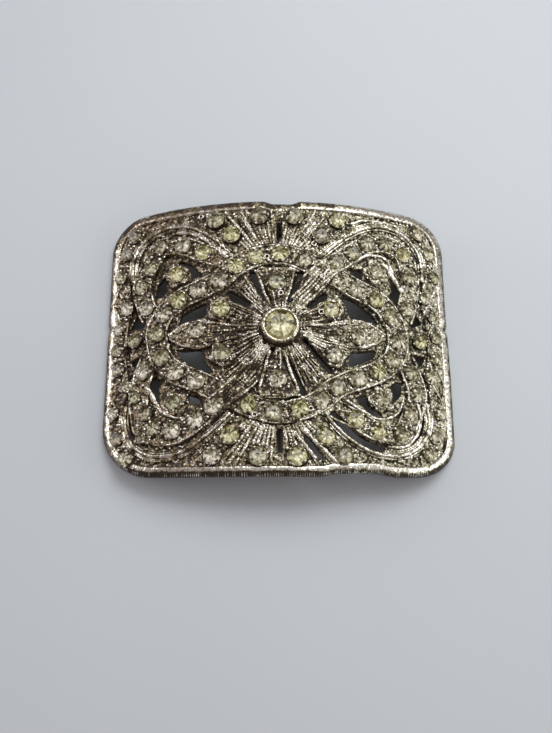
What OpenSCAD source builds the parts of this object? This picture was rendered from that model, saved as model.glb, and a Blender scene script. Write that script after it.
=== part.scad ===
// Sash buckle: a cast and pierced metal plate, bent round the waist and set with brilliants,
// with a plain bar behind it for the sash.
// The plate lies face up on its two side rims. X runs along the belt, Y is up when worn, Z is out.

/* [Plate] */
// Width of the plate along the belt
plate_w = 75.2; // [72:0.1:78]
// Height of the plate across the belt
plate_h = 61.2; // [60.8:0.1:64]
// Radius of the round corners
corner_r = 8; // [7:0.5:9]
// Radius of the bend round the waist, at the level of the stones
bend_r = 75.4; // [72:0.1:90]
// Thickness of the pierced plate
plate_t = 1.1; // [1:0.1:1.3]
// Depth of the plate's face below the level of the stones
plate_drop = 1.2; // [1.1:0.1:1.3]
// Width of the bevelled rim
rim_w = 1.7; // [1.4:0.1:2]

/* [Ornament] */
// Width of the eye-shaped band of stones
ring_w = 4.9; // [4.6:0.1:5.2]
// Width of the corner loops
loop_w = 4.4; // [4.2:0.1:4.8]
// Width of the side columns
column_w = 3.9; // [3.6:0.1:4.1]
// Width of the wires that edge the bands
wire_w = 0.6; // [0.5:0.1:0.8]
// Width of a ray
ray_w = 0.6; // [0.4:0.1:0.8]
// Height of the centre stone above the level of the others
centre_rise = 3; // [2.5:0.1:3.5]

/* [Stones] */
// Diameter of the centre stone
centre_d = 5.9; // [5.6:0.1:6.2]
// Clearance between a stone and its cup
stone_gap = 0.12; // [0.1:0.01:0.15]
// Wall of a stone cup
cup_wall = 0.35; // [0.3:0.05:0.45]

/* [Sash bar] */
// Diameter of the bar
bar_d = 2.2; // [2:0.1:2.4]
// Height of the bar's axis above the surface that the rims rest on
bar_z = 3.8; // [3.6:0.1:4]

/* [Hidden] */
// The level of the stones is a cylinder about a line along Y at height axis_z, so placed that the lower
// edges of the side rims touch the table. Its top is crown_z above the table.
round_fn = 52;
facet = 360 / round_fn;
under_r = bend_r - plate_drop - plate_t;
rim_facet = floor(asin(plate_w / 2 / under_r) / facet);
axis_z = -under_r * lookup(plate_w / 2 / under_r,
    [for (k = [rim_facet, rim_facet + 1]) [sin(k * facet), cos(k * facet)]]);
crown_z = axis_z + bend_r;
cup_sides = 8;
bezel_sides = 16;

// Levels of the relief, measured out from the level of the stones
rim_level = -0.5;
band_level = -0.1;
wire_level = 0.2;
wire_inset = 0.23;
crossing_level = 0.3;
cup_level = 0.25;
cup_foot = -2.2;
root_level = -1.7;

// The edges of the plate above and below the waist bow in by bow_2 x^2 + bow_4 x^4.
bow_2 = 0.0006;
bow_4 = 0.00000074;
corner_steps = 7;
edge_steps = 8;

// A brilliant, in parts of its diameter
table_part = 0.55;
crown_part = 0.17;
pavilion_part = 0.38;
stone_sides = 8;
stone_level = 0.05;
seat_floor_gap = 0.15;

// The stones. Each row is [x, y, diameter] from the middle of the ornament. Half of the ornament is given,
// and the other half is the same, turned half a turn, except where two lists are given.
ring_stones = [
    [0.6, 17.75, 3.3], [-4.6, 17.1, 3.3], [-9.0, 15.1, 3.3], [-12.5, 12.1, 3.4], [-17.0, 10.05, 3.4],
    [-21.2, 8.1, 3.3], [-24.6, 5.2, 3.2], [-26.0, 0.9, 3.3], [-24.7, -4.6, 3.3], [-21.4, -8.25, 3.2],
    [-17.0, -10.35, 3.4], [-5.85, -16.2, 3.2]
];
petal_stones = [[-0.15, 10.8, 3.3], [11.4, 4.85, 3.2], [-11.9, 5.1, 3.2], [-17.05, 0.75, 3.2]];
leaf_stones = [[21.65, 14.9, 3.1], [-21.9, 14.2, 3.1]];
side_stone = [-31.0, 0.15, 2.9];
fan_stones = [
    [-13.6, 26.5, 3.4], [-10.0, 22.7, 3.4], [-4.0, 26.95, 3.5], [3.85, 26.9, 3.5], [9.7, 22.45, 3.4],
    [13.35, 26.5, 3.4]
];
column_stones = [
    [-32.1, 25.1, 2.8], [-33.65, 21.2, 2.6], [-35.0, 15.75, 2.6], [-33.05, 7.85, 2.8], [-34.65, 3.4, 2.5],
    [-34.95, -1.45, 2.5], [-34.45, -6.1, 2.6], [-32.45, -10.2, 2.4], [-35.15, -15.8, 2.5],
    [-34.0, -21.35, 2.8], [-31.7, -25.95, 3.0]
];
loop_stones_under = [
    [-16.2, 18.8, 3.3], [-20.7, 21.0, 3.2], [-25.9, 21.3, 3.2], [-28.0, 16.5, 3.0], [-29.9, 12.3, 2.9],
    [-28.5, 7.35, 3.1]
];
loop_stones_upper_right = [
    [12.9, 16.1, 3.3], [16.5, 18.7, 3.0], [19.7, 21.3, 3.2], [23.9, 21.9, 3.2], [28.0, 20.0, 3.2],
    [29.1, 14.6, 3.1], [28.2, 7.0, 3.2]
];
loop_stones_lower_left = [
    [-13.2, -16.2, 3.4], [-16.8, -18.9, 3.2], [-21.8, -20.7, 3.4], [-25.7, -20.0, 2.8], [-28.6, -21.9, 2.0],
    [-27.9, -16.6, 3.0], [-30.3, -12.8, 2.4], [-28.6, -7.3, 3.2]
];

// The middle lines of the bands, as points [x, y] that a smooth curve runs through
ring_half = [for (s = ring_stones) [s[0], s[1]]];
ring_crossing = [-11.5, -13.4];
ring_points = concat([for (i = [0:10]) ring_half[i]], [ring_crossing, ring_half[11]]);
loop_over = [[5.2, 9.4], [9.1, 13.0], [12.9, 16.1], [16.5, 18.9], [20.0, 21.2], [24.0, 21.9], [27.9, 20.0],
    [29.3, 14.8], [29.0, 10.6], [28.2, 7.0], [27.2, 4.2]];
loop_under = [[-9.4, 15.3], [-12.6, 17.2], [-16.2, 18.8], [-20.7, 21.0], [-25.8, 21.2], [-28.4, 16.7],
    [-29.8, 12.3], [-28.5, 7.35], [-27.3, 4.6]];
column_line = [[-31.7, 26.3], [-33.6, 21.0], [-34.7, 15.6], [-34.1, 8.0], [-34.5, 3.4], [-34.8, -1.5], [-34.3, -6.0],
    [-33.7, -10.5], [-34.9, -15.8], [-33.9, -21.3], [-31.5, -26.2]];
crossing_line = [[5.5, 9.7], [7.3, 11.4], [9.1, 13.0], [11.0, 14.6], [12.9, 16.1], [14.7, 17.5]];
crossing_w = 4.2;
outer_wire_over = [[9.5, 17.5], [12.0, 20.0], [15.5, 23.0], [19.5, 25.3], [24.0, 26.1], [28.2, 24.9],
    [31.2, 21.8], [32.3, 17.5], [32.0, 14.2]];
outer_wire_under = [[-10.2, 18.4], [-13.5, 21.8], [-17.2, 24.5], [-21.0, 25.8], [-25.5, 25.8], [-29.2, 24.0],
    [-31.6, 20.8], [-32.2, 17.0], [-31.7, 13.8]];

// Openings that pierce the plate. A slot is [x1, y1, x2, y2, width], and the rest are corner points [x, y].
fan_slot = [0.5, 21.7, 0.5, 25.8, 1.1];
slots = [
    [5.0, 13.3, 2.6, 6.6, 1.1], [-1.0, -4.6, -2.2, -6.9, 0.9], [-10.2, 8.9, -6.4, 6.3, 1.6],
    [5.7, -2.4, 11.1, -8.5, 0.9], [6.9, 5.7, 10.1, 8.5, 1.2], [6.1, -23.2, 8.7, -26.8, 1.1]
];
turned_slots = [[-5.2, 13.2, -1.9, 6.8, 1.4]];
wire_slot = [[-11.2, 17.7], [-14.2, 20.9], [-18.0, 23.7], [-21.6, 24.6]];
wire_slot_w = 0.8;
corner_slots = [[[30.9, -16.8], [30.6, -19.7], [29.2, -22.3]], [[-31.9, -16.5], [-31.2, -19.8], [-29.3, -22.5]]];
corner_slot_w = 0.7;
windows = [
    [[-15.1, 7.3], [-17.5, 6.4], [-20.4, 4.9], [-21.2, 2.9], [-19.0, 3.5], [-15.8, 3.9], [-15.2, 5.0]],
    [[13.3, 8.7], [15.5, 8.3], [18.5, 6.5], [20.8, 4.3], [21.5, 2.9], [19.5, 3.3], [16.2, 3.3], [15.2, 4.9],
        [14.9, 6.4]],
    [[24.5, 16.2], [25.9, 13.0], [27.3, 10.1], [26.0, 8.7], [24.3, 9.7], [25.1, 11.2], [24.9, 13.2]],
    [[15.6, 15.4], [18.2, 15.2], [18.4, 13.0], [16.4, 13.9]],
    [[-24.3, 14.6], [-24.3, 11.8], [-23.9, 10.9], [-25.3, 9.6], [-26.7, 9.9], [-26.0, 12.8]],
    [[-16.3, 13.9], [-18.5, 13.2], [-18.9, 15.3], [-21.8, 17.2], [-21.3, 17.8], [-18.6, 16.6]],
    [[28.7, 3.0], [29.0, 4.4], [30.6, 6.0], [31.6, 4.3], [30.5, 3.9]],
    [[28.6, -3.2], [30.2, -3.0], [32.0, -3.2], [31.4, -4.8], [30.4, -5.9], [28.8, -4.9]]
];

// The rosette: a low cone under the centre bezel, with rays to the petals and to the ring.
// The bezel stands a little to the right of the plate's middle, at bezel_at.
bezel_at = [0.65, 0.15];
cone_foot_r = 13.5;
cone_top_r = 4.8;
cone_top_level = 1.2;
bezel_wall = 0.75;
centre_stone = [bezel_at[0], bezel_at[1], centre_d];
ray_count = 28;
ray_root = 1.2;
ray_foot_w = 0.9;
ray_start_r = 4;
ray_end_r = 14.5;
ray_end_level = -0.75;
ray_start_level = 1.9;
// The rays of the two outer fans spread from a point at fan_focus_y, by angles from the upright.
fan_focus_y = 13.3;
fan_ray_step = 9;
fan_ray_reach = 45;
fan_ray_level = -0.55;
fan_start_r = 7;
fan_end_y = 29;
petal_rise = 0.5;
petal_r = 2.9;
petal_level = -0.2;
leaf_pad_r = 2.8;
pad_sides = 12;
// Half of a side leaf's outline, from the bezel to the tip beside the ring, as points [x, y]
side_leaf = [[4.5, 0.8], [10.0, 1.5], [14.0, 2.6], [17.0, 3.0], [20.0, 2.3], [23.4, 0.2]];
// The bar across the upright petal fan, as the points [x, y] of its arc
petal_arc = [[-5.0, 13.9], [-2.5, 14.4], [0, 14.5], [2.5, 14.4], [5.0, 13.9]];
polished_bars = [[-4.4, 21.4, -7.3, 26.9, 0.9], [5.9, 21.9, 8.4, 26.6, 0.9]];

dents = [
    [[-3.4, plate_h / 2 + 1], [-3.4, plate_h / 2], [-0.4, plate_h / 2 - 0.75], [3.1, plate_h / 2 - 0.75],
        [5.3, plate_h / 2], [5.3, plate_h / 2 + 1]],
    [[9.0, -plate_h / 2 - 1], [9.0, -plate_h / 2 + 0.05], [13.0, -plate_h / 2 + 0.65],
        [19.0, -plate_h / 2 + 0.8], [26.0, -plate_h / 2 - 1]],
    [[-plate_w / 2 - 1, 2.8], [-plate_w / 2, 2.8], [-plate_w / 2 + 0.4, 4.4], [-plate_w / 2, 6.0],
        [-plate_w / 2 - 1, 6.0]],
    [[plate_w / 2 + 1, 2.6], [plate_w / 2, 2.6], [plate_w / 2 - 0.4, 4.0], [plate_w / 2, 5.4], [plate_w / 2 + 1, 5.4]]
];

// Lugs behind the rim, with a blind hole for each end of the bar
lug_w = 3.6;
lug_t = 2;
lug_y = 27;
bar_end_depth = 1.4;
bar_clearance = 0.1;

RING_COUNT = 24;
PETAL_COUNT = 8;
LEAF_COUNT = 4;
SIDE_COUNT = 2;

function turned(rows) = [for (s = rows) [-s[0], -s[1], s[2]]];
function both(rows) = concat(rows, turned(rows));
function reversed(v) = [for (i = [len(v) - 1:-1:0]) v[i]];
function at(v, i) = v[max(0, min(len(v) - 1, i))];

// A point on the smooth curve from b to c, where a and d are the points before and after them
function blend(a, b, c, d, t) =
    0.5 * (2 * b + (c - a) * t + (2 * a - 5 * b + 4 * c - d) * t * t + (3 * b - a - 3 * c + d) * t * t * t);
function smooth(v, steps = 2) = concat(
    [for (i = [0:len(v) - 2]) for (s = [0:steps - 1]) blend(at(v, i - 1), v[i], v[i + 1], at(v, i + 2), s / steps)],
    [v[len(v) - 1]]);
function smooth_loop(v, steps = 2) = let (n = len(v))
    [for (i = [0:n - 1]) for (s = [0:steps - 1])
        blend(v[(i + n - 1) % n], v[i], v[(i + 1) % n], v[(i + 2) % n], s / steps)];

// A line moved to its left by o
function unit(v) = v / norm(v);
function left_of(v) = [-v[1], v[0]];
function beside(v, o) = [for (i = [0:len(v) - 1]) v[i] + o * left_of(unit(at(v, i + 1) - at(v, i - 1)))];
function beside_loop(v, o) = let (n = len(v))
    [for (i = [0:n - 1]) v[i] + o * left_of(unit(v[(i + 1) % n] - v[(i + n - 1) % n]))];

// Level of the stones above the table, x from the middle of the plate
function face_z(x) = axis_z + sqrt(bend_r * bend_r - x * x);

// The plate's outline, set in by an inset: round corners joined by edges that bow in
function bow(x) = bow_2 * x * x + bow_4 * pow(x, 4);
function bowed(p) = [p[0], p[1] * (1 - bow(p[0]) / (plate_h / 2))];
function corner(sx, sy, inset) = let (r = corner_r - inset, cx = plate_w / 2 - corner_r, cy = plate_h / 2 - corner_r)
    [for (i = [0:corner_steps]) let (a = 90 * i / corner_steps) [sx * (cx + r * cos(a)), sy * (cy + r * sin(a))]];
function edge(sy, inset) = let (cx = plate_w / 2 - corner_r)
    [for (i = [1:edge_steps - 1]) [cx - 2 * cx * i / edge_steps, sy * (plate_h / 2 - inset)]];
function outline(inset) = [for (p = concat(
    corner(1, 1, inset), edge(1, inset), reversed(corner(-1, 1, inset)),
    corner(-1, -1, inset), reversed(edge(-1, inset)), reversed(corner(1, -1, inset)))) bowed(p)];

module plate_shape(inset) polygon(outline(inset));

module band(line, o, w) polygon(concat(beside(line, o + w / 2), reversed(beside(line, o - w / 2))));

module hoop(line, o, w) difference() {
    polygon(beside_loop(line, o - w / 2));
    polygon(beside_loop(line, o + w / 2));
}

module slot(s) {
    line = [[s[0], s[1]], [s[2], s[3]]];
    band(line, 0, s[4]);
}

module two_fold() {
    children();
    rotate([0, 0, 180]) children();
}

// What lies between two levels of the bend, over a flat shape
module bent(low, high) intersection() {
    column() children();
    shell(low, high);
}

module column() translate([0, 0, -2]) linear_extrude(crown_z + 7) children();

module shell(low, high) translate([0, 0, axis_z]) rotate([90, 0, 0]) difference() {
    cylinder(h = plate_h + 10, r = bend_r + high, center = true, $fn = round_fn);
    cylinder(h = plate_h + 20, r = bend_r + low, center = true, $fn = round_fn);
}

// Puts a thing made at the origin onto the level of the stones, square to it
module seated(x, y) translate([0, y, axis_z]) rotate([0, asin(x / bend_r), 0])
    translate([0, 0, bend_r]) children();

module at_bezel(z = 0) translate([bezel_at[0], bezel_at[1], z]) children();

module rosette_cone() at_bezel(crown_z + root_level)
    cylinder(h = cone_top_level - root_level, r1 = cone_foot_r, r2 = cone_top_r, $fn = bezel_sides);

// A ray is a rib whose crest runs down from the bezel to the ring
module ray_end(r, level) translate([r, 0, level - ray_root])
    rotate([0, 0, 45]) cylinder(h = ray_root, d1 = ray_foot_w, d2 = ray_w, $fn = 4);

module ray(a) at_bezel() rotate([0, 0, a]) hull() {
    ray_end(ray_start_r, crown_z + ray_start_level);
    ray_end(ray_end_r, face_z(bezel_at[0] + ray_end_r * cos(a)) + ray_end_level);
}

module bezel() at_bezel(crown_z + root_level)
    cylinder(h = centre_rise + cup_level - root_level, d = centre_d + 2 * bezel_wall, $fn = bezel_sides);

module fan_rays() for (a = [-fan_ray_reach:fan_ray_step:fan_ray_reach])
    slot([fan_start_r * sin(a), fan_focus_y + fan_start_r * cos(a),
        (fan_end_y - fan_focus_y) * tan(a), fan_end_y, ray_w]);

module openings() column() {
    slot(fan_slot);
    mirror([0, 1]) slot(fan_slot);
    for (s = slots) slot(s);
    for (line = corner_slots) band(smooth(line), 0, corner_slot_w);
    two_fold() {
        for (s = turned_slots) slot(s);
        for (w = windows) polygon(w);
        band(smooth(wire_slot), 0, wire_slot_w);
    }
}

module cup(s, rise = 0) seated(s[0], s[1])
    translate([0, 0, cup_foot])
        cylinder(h = cup_level + rise - cup_foot, d = s[2] + 2 * (stone_gap + cup_wall), $fn = cup_sides);

module seat(s, rise = 0) seated(s[0], s[1])
    translate([0, 0, rise + stone_level - pavilion_part * s[2] - seat_floor_gap])
        cylinder(h = s[2], d = s[2] + 2 * stone_gap, $fn = cup_sides);

// The stones of the bands are sunk into them, and the others stand in cups of their own.
raised_cups = both(concat(leaf_stones, [side_stone], fan_stones));
flat_stones = concat(raised_cups, both(concat(ring_stones, column_stones, loop_stones_under)),
    loop_stones_upper_right, loop_stones_lower_left);

module wires(ring_line) {
    for (side = [-1, 1]) hoop(ring_line, side * (ring_w / 2 - wire_inset), wire_w);
    two_fold() {
        band(smooth(outer_wire_over), 0, wire_w);
        band(smooth(outer_wire_under), 0, wire_w);
        band(smooth(petal_arc), 0, wire_w);
        for (s = polished_bars) slot(s);
    }
}

module bands(ring_line) {
    hoop(ring_line, 0, ring_w);
    two_fold() {
        band(smooth(loop_over), 0, loop_w);
        band(smooth(loop_under), 0, loop_w);
        band(column_line, 0, column_w);
    }
}

module petals() two_fold() {
    half = smooth(side_leaf, 2);
    polygon(concat(half, [for (p = reversed(half)) [p[0], -p[1]]]));
    for (i = [0:2]) translate([petal_stones[i][0], petal_stones[i][1]]) circle(r = petal_r, $fn = pad_sides);
    for (s = leaf_stones) translate([s[0], s[1]]) circle(r = leaf_pad_r, $fn = pad_sides);
}

module buckle_casting() color([0.62, 0.61, 0.57]) {
    ring_line = smooth_loop(concat(ring_points, [for (p = ring_points) -p]));
    difference() {
        union() {
            bent(-plate_drop - plate_t, -plate_drop) plate_shape(0);
            bent(root_level, rim_level) difference() {
                plate_shape(0);
                plate_shape(rim_w);
            }
            bent(root_level, band_level) bands(ring_line);
            bent(root_level, wire_level) wires(ring_line);
            bent(root_level, petal_level) petals();
            bent(root_level, crossing_level) two_fold() band(crossing_line, 0, crossing_w);
            bent(root_level, fan_ray_level) two_fold() fan_rays();
            rosette_cone();
            for (i = [0:ray_count - 1]) ray(360 * i / ray_count);
            for (s = raised_cups) cup(s);
            for (s = both(petal_stones)) cup(s, petal_rise);
            bezel();
        }
        openings();
        edge_dents();
        for (s = flat_stones) seat(s);
        for (s = both(petal_stones)) seat(s, petal_rise);
        seat(centre_stone, centre_rise);
    }
    difference() {
        for (end = [-1, 1]) lug(end);
        sash_bar_bore();
    }
}

// A lug hangs from the plate behind the rim, round at its lower end where the bar goes in
module lug(end) translate([0, end * lug_y, 0]) rotate([90, 0, 0]) linear_extrude(lug_t, center = true) {
    translate([0, bar_z]) circle(d = lug_w, $fn = pad_sides);
    translate([-lug_w / 2, bar_z]) square([lug_w, crown_z + root_level - bar_z]);
}

module sash_bar_bore() translate([0, 0, bar_z]) rotate([90, 0, 0])
    cylinder(h = 2 * (lug_y - lug_t / 2 + bar_end_depth), d = bar_d + 2 * bar_clearance, center = true,
        $fn = bezel_sides);

// Wear on the edges. Each row is a dent's corner points [x, y].
module edge_dents() column() for (d = dents) polygon(d);

module sash_bar() color([0.55, 0.55, 0.53]) translate([0, 0, bar_z]) rotate([90, 0, 0])
    cylinder(h = 2 * (lug_y - lug_t / 2 + bar_end_depth - bar_clearance), d = bar_d, center = true, $fn = 48);

// A brilliant with a flat table, eight crown facets and eight pavilion facets
module brilliant(s, rise = 0) color([0.86, 0.83, 0.66]) seated(s[0], s[1])
    translate([0, 0, rise + stone_level]) {
        translate([0, 0, -pavilion_part * s[2]])
            cylinder(h = pavilion_part * s[2], d1 = 0, d2 = s[2], $fn = stone_sides);
        cylinder(h = crown_part * s[2], d1 = s[2], d2 = table_part * s[2], $fn = stone_sides);
    }

module field(rows) for (s = rows) brilliant(s);

buckle_casting();
sash_bar();
brilliant(centre_stone, centre_rise);
for (i = [1:RING_COUNT])
    brilliant(both(ring_stones)[i - 1]);
for (i = [1:PETAL_COUNT])
    brilliant(both(petal_stones)[i - 1], petal_rise);
for (i = [1:LEAF_COUNT])
    brilliant(both(leaf_stones)[i - 1]);
for (i = [1:SIDE_COUNT])
    brilliant(both([side_stone])[i - 1]);
field(loop_stones_under);  // loop_stones_upper_left
field(loop_stones_upper_right);
field(loop_stones_lower_left);
field(turned(loop_stones_under));  // loop_stones_lower_right
field(fan_stones);  // fan_stones_top
field(turned(fan_stones));  // fan_stones_bottom
field(column_stones);  // column_stones_left
field(turned(column_stones));  // column_stones_right
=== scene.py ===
# %% [markdown]
# # A sash buckle, cast in white metal and set with brilliants
#
# The real buckle is one pierced casting, bent round the waist. Cups stand up from it and hold about
# a hundred glass brilliants, and a plain bar behind it takes the sash. Years of wear left the high
# places bright and the low places nearly black, and the glass turned yellow in some of the cups.
#
# The construction is loaded first and stays as it is. It fixes where every stone sits and how the
# plate is bent, and the finer shapes are worked out round it.

import bpy
import numpy as np
from mathutils import Matrix, Vector


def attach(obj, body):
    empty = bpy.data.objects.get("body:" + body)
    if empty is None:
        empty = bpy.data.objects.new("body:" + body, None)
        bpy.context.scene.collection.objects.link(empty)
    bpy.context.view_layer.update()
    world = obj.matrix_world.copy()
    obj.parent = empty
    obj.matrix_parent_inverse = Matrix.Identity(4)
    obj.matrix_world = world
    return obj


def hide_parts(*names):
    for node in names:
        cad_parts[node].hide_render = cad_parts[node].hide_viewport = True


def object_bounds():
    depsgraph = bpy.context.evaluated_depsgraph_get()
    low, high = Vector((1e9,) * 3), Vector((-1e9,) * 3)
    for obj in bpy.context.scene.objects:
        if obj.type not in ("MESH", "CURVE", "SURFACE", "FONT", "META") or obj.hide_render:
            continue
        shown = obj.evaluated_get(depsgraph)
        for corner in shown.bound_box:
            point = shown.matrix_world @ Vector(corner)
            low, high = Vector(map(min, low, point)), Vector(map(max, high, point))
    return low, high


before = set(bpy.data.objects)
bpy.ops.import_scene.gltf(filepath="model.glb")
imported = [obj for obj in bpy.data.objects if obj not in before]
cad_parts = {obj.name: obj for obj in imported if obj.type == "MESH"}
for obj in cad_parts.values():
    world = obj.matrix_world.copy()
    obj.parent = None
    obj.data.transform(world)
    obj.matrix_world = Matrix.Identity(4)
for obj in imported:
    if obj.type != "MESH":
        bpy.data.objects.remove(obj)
cad_box = [list(corner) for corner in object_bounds()]
MM = 0.001
print("pieces in the construction:", len(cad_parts))

# %% [markdown]
# ## The bend
#
# All shapes are drawn flat first, as a jeweller draws on paper, with x along the belt and y
# across it, in millimetres. A third number, the level, says how far a point stands above the
# level of the stones. The level of the stones is a cylinder, so one short formula bends the
# drawing into place. A Simple Deform modifier could bend a finished mesh as well, but the formula
# also tells where any stone or wire goes.
#
# The bend's radius is a driving value of the construction. Its axis follows from it: the feet of
# the two side rims reach the table.

# %% The bend's radius and axis
BEND_R = 75.4
UNDER_LEVEL = -2.3
FOOT_Z = 0.157
LOW, HIGH = [np.array(corner) / MM for corner in cad_box]
PLATE_W = HIGH[0] - LOW[0]
AXIS_Z = -np.sqrt((BEND_R + UNDER_LEVEL) ** 2 - (PLATE_W / 2) ** 2) + FOOT_Z
CROWN_Z = AXIS_Z + BEND_R


def bend(x, y, level):
    """A flat point (x, y) at a level goes to height AXIS_Z + sqrt((BEND_R + level)^2 - x^2)."""
    x, y, level = np.broadcast_arrays(x, y, level)
    return np.stack([x, y, AXIS_Z + np.sqrt((BEND_R + level) ** 2 - x ** 2)], axis=-1)


print("width and height of the plate, mm:", np.round(HIGH[:2] - LOW[:2], 2))

# %% [markdown]
# ## Places
#
# The ornament is nearly the same when it is turned by half a turn, so most lists give one half. A
# stone is a row of x, y and diameter. The lines that the bands follow are a few points each, and a
# smooth curve runs through them. Curve objects could hold these lines too, but the relief is worked
# out from the distance to each line, and plain lists of numbers are the quickest to measure from.

# %% Stones that half a turn repeats
RING_STONES = [
    (0.6, 17.75, 3.3), (-4.6, 17.1, 3.3), (-9.0, 15.1, 3.3), (-12.5, 12.1, 3.4),
    (-17.0, 10.05, 3.4), (-21.2, 8.1, 3.3), (-24.6, 5.2, 3.2), (-26.0, 0.9, 3.3),
    (-24.7, -4.6, 3.3), (-21.4, -8.25, 3.2), (-17.0, -10.35, 3.4), (-5.85, -16.2, 3.2),
]
PETAL_STONES = [(-0.15, 10.8, 3.3), (11.4, 4.85, 3.2), (-11.9, 5.1, 3.2), (-17.05, 0.75, 3.2)]
LEAF_STONES = [(21.65, 14.9, 3.1), (-21.9, 14.2, 3.1)]
SIDE_STONES = [(-31.0, 0.15, 2.9)]
FAN_STONES = [
    (-13.6, 26.5, 3.4), (-10.0, 22.7, 3.4), (-4.0, 26.95, 3.5), (3.85, 26.9, 3.5),
    (9.7, 22.45, 3.4), (13.35, 26.5, 3.4),
]
COLUMN_STONES = [
    (-32.1, 25.1, 2.8), (-33.65, 21.2, 2.6), (-35.0, 15.75, 2.6), (-33.05, 7.85, 2.8),
    (-34.65, 3.4, 2.5), (-34.95, -1.45, 2.5), (-34.45, -6.1, 2.6), (-32.45, -10.2, 2.4),
    (-35.15, -15.8, 2.5), (-34.0, -21.35, 2.8), (-31.7, -25.95, 3.0),
]
print("stones in one half of the band:", len(RING_STONES))

# %% Stones of the loops
LOOP_UNDER_STONES = [
    (-16.2, 18.8, 3.3), (-20.7, 21.0, 3.2), (-25.9, 21.3, 3.2), (-28.0, 16.5, 3.0),
    (-29.9, 12.3, 2.9), (-28.5, 7.35, 3.1),
]
UPPER_RIGHT_STONES = [
    (12.9, 16.1, 3.3), (16.5, 18.7, 3.0), (19.7, 21.3, 3.2), (23.9, 21.9, 3.2), (28.0, 20.0, 3.2),
    (29.1, 14.6, 3.1), (28.2, 7.0, 3.2),
]
LOWER_LEFT_STONES = [
    (-13.2, -16.2, 3.4), (-16.8, -18.9, 3.2), (-21.8, -20.7, 3.4), (-25.7, -20.0, 2.8),
    (-28.6, -21.9, 2.0), (-27.9, -16.6, 3.0), (-30.3, -12.8, 2.4), (-28.6, -7.3, 3.2),
]
print("stones in the upper right loop:", len(UPPER_RIGHT_STONES))

# %% The centre stone and half a turn
BEZEL_AT = (0.65, 0.15)
CENTRE_STONE = (BEZEL_AT[0], BEZEL_AT[1], 5.9)
CENTRE_RISE = 3.0
PETAL_RISE = 0.5


def turned(rows):
    """The same rows after half a turn: x and y change sign."""
    return [(-x, -y, *rest) for x, y, *rest in rows]


def both(rows):
    """The rows of one half and of the other."""
    return rows + turned(rows)


print("stones in the whole band:", len(both(RING_STONES)))

# %% The lines of the bands
RING_HALF = [stone[:2] for stone in RING_STONES]
RING_POINTS = RING_HALF[:11] + [(-11.5, -13.4)] + RING_HALF[11:]
LOOP_OVER = [
    (5.2, 9.4), (9.1, 13.0), (12.9, 16.1), (16.5, 18.9), (20.0, 21.2), (24.0, 21.9), (27.9, 20.0),
    (29.3, 14.8), (29.0, 10.6), (28.2, 7.0), (27.2, 4.2),
]
LOOP_UNDER = [
    (-9.4, 15.3), (-12.6, 17.2), (-16.2, 18.8), (-20.7, 21.0), (-25.8, 21.2), (-28.4, 16.7),
    (-29.8, 12.3), (-28.5, 7.35), (-27.3, 4.6),
]
COLUMN_LINE = [
    (-31.7, 26.3), (-33.6, 21.0), (-34.7, 15.6), (-34.1, 8.0), (-34.5, 3.4), (-34.8, -1.5),
    (-34.3, -6.0), (-33.7, -10.5), (-34.9, -15.8), (-33.9, -21.3), (-31.5, -26.2),
]
CROSSING_LINE = [(5.5, 9.7), (9.1, 13.0), (12.9, 16.1), (14.7, 17.5)]
print("points that the loops are drawn with:", len(LOOP_OVER), len(LOOP_UNDER))

# %% Smooth curves through points
CURVE_PIECES = 24


def walked_along(line):
    """How far each point of a line lies from its start, measured along the line."""
    return np.concatenate([[0], np.cumsum(np.linalg.norm(np.diff(line, axis=0), axis=1))])


def curve(points, step=0.2, closed=False):
    """A Catmull-Rom curve through the points, sampled about every step mm along its length.
    Between b and c it is a cubic in t, which leaves b in the direction from a to c and reaches
    c in that from b to d."""
    p = np.array(points, float)
    if closed:
        p = np.vstack([p[-1], p, p[:2]])
    else:
        p = np.vstack([2 * p[0] - p[1], p, 2 * p[-1] - p[-2]])
    a, b, c, d = p[:-3, None], p[1:-2, None], p[2:-1, None], p[3:, None]
    t = np.linspace(0, 1, CURVE_PIECES, endpoint=False)[None, :, None]
    square, cube = 2 * a - 5 * b + 4 * c - d, 3 * b - a - 3 * c + d
    fine = 0.5 * (2 * b + (c - a) * t + square * t ** 2 + cube * t ** 3)
    fine = np.vstack([fine.reshape(-1, p.shape[1]), p[-2]])
    walked = walked_along(fine)
    count = max(3, int(round(walked[-1] / step)) + 1)
    at = np.linspace(0, walked[-1], count)
    return np.stack([np.interp(at, walked, column) for column in fine.T], axis=1)


def beside(line, offset):
    """A line moved to its left by offset, along the normal of its own direction."""
    way = np.gradient(line, axis=0)
    way /= np.linalg.norm(way, axis=1)[:, None]
    return line + offset * np.stack([-way[:, 1], way[:, 0]], axis=1)


ring_line = curve(RING_POINTS + turned(RING_POINTS), closed=True)
loop_over, loop_under = curve(LOOP_OVER), curve(LOOP_UNDER)
column_line, crossing_line = curve(COLUMN_LINE), curve(CROSSING_LINE)
print("length of the eye-shaped band, mm:", round(walked_along(ring_line)[-1], 1))

# %% [markdown]
# ## Distances
#
# Nearly every form on the plate is a strip of some width along a line, or a hole with an outline.
# Both are easy when the distance from any point to a line is known. The distance to a chain of
# short segments is the least of the distances to each one, and numpy takes all the points at once.

# %% Distance to a line and to an outline
FAR = 1e9
TINY = 1e-12


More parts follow.
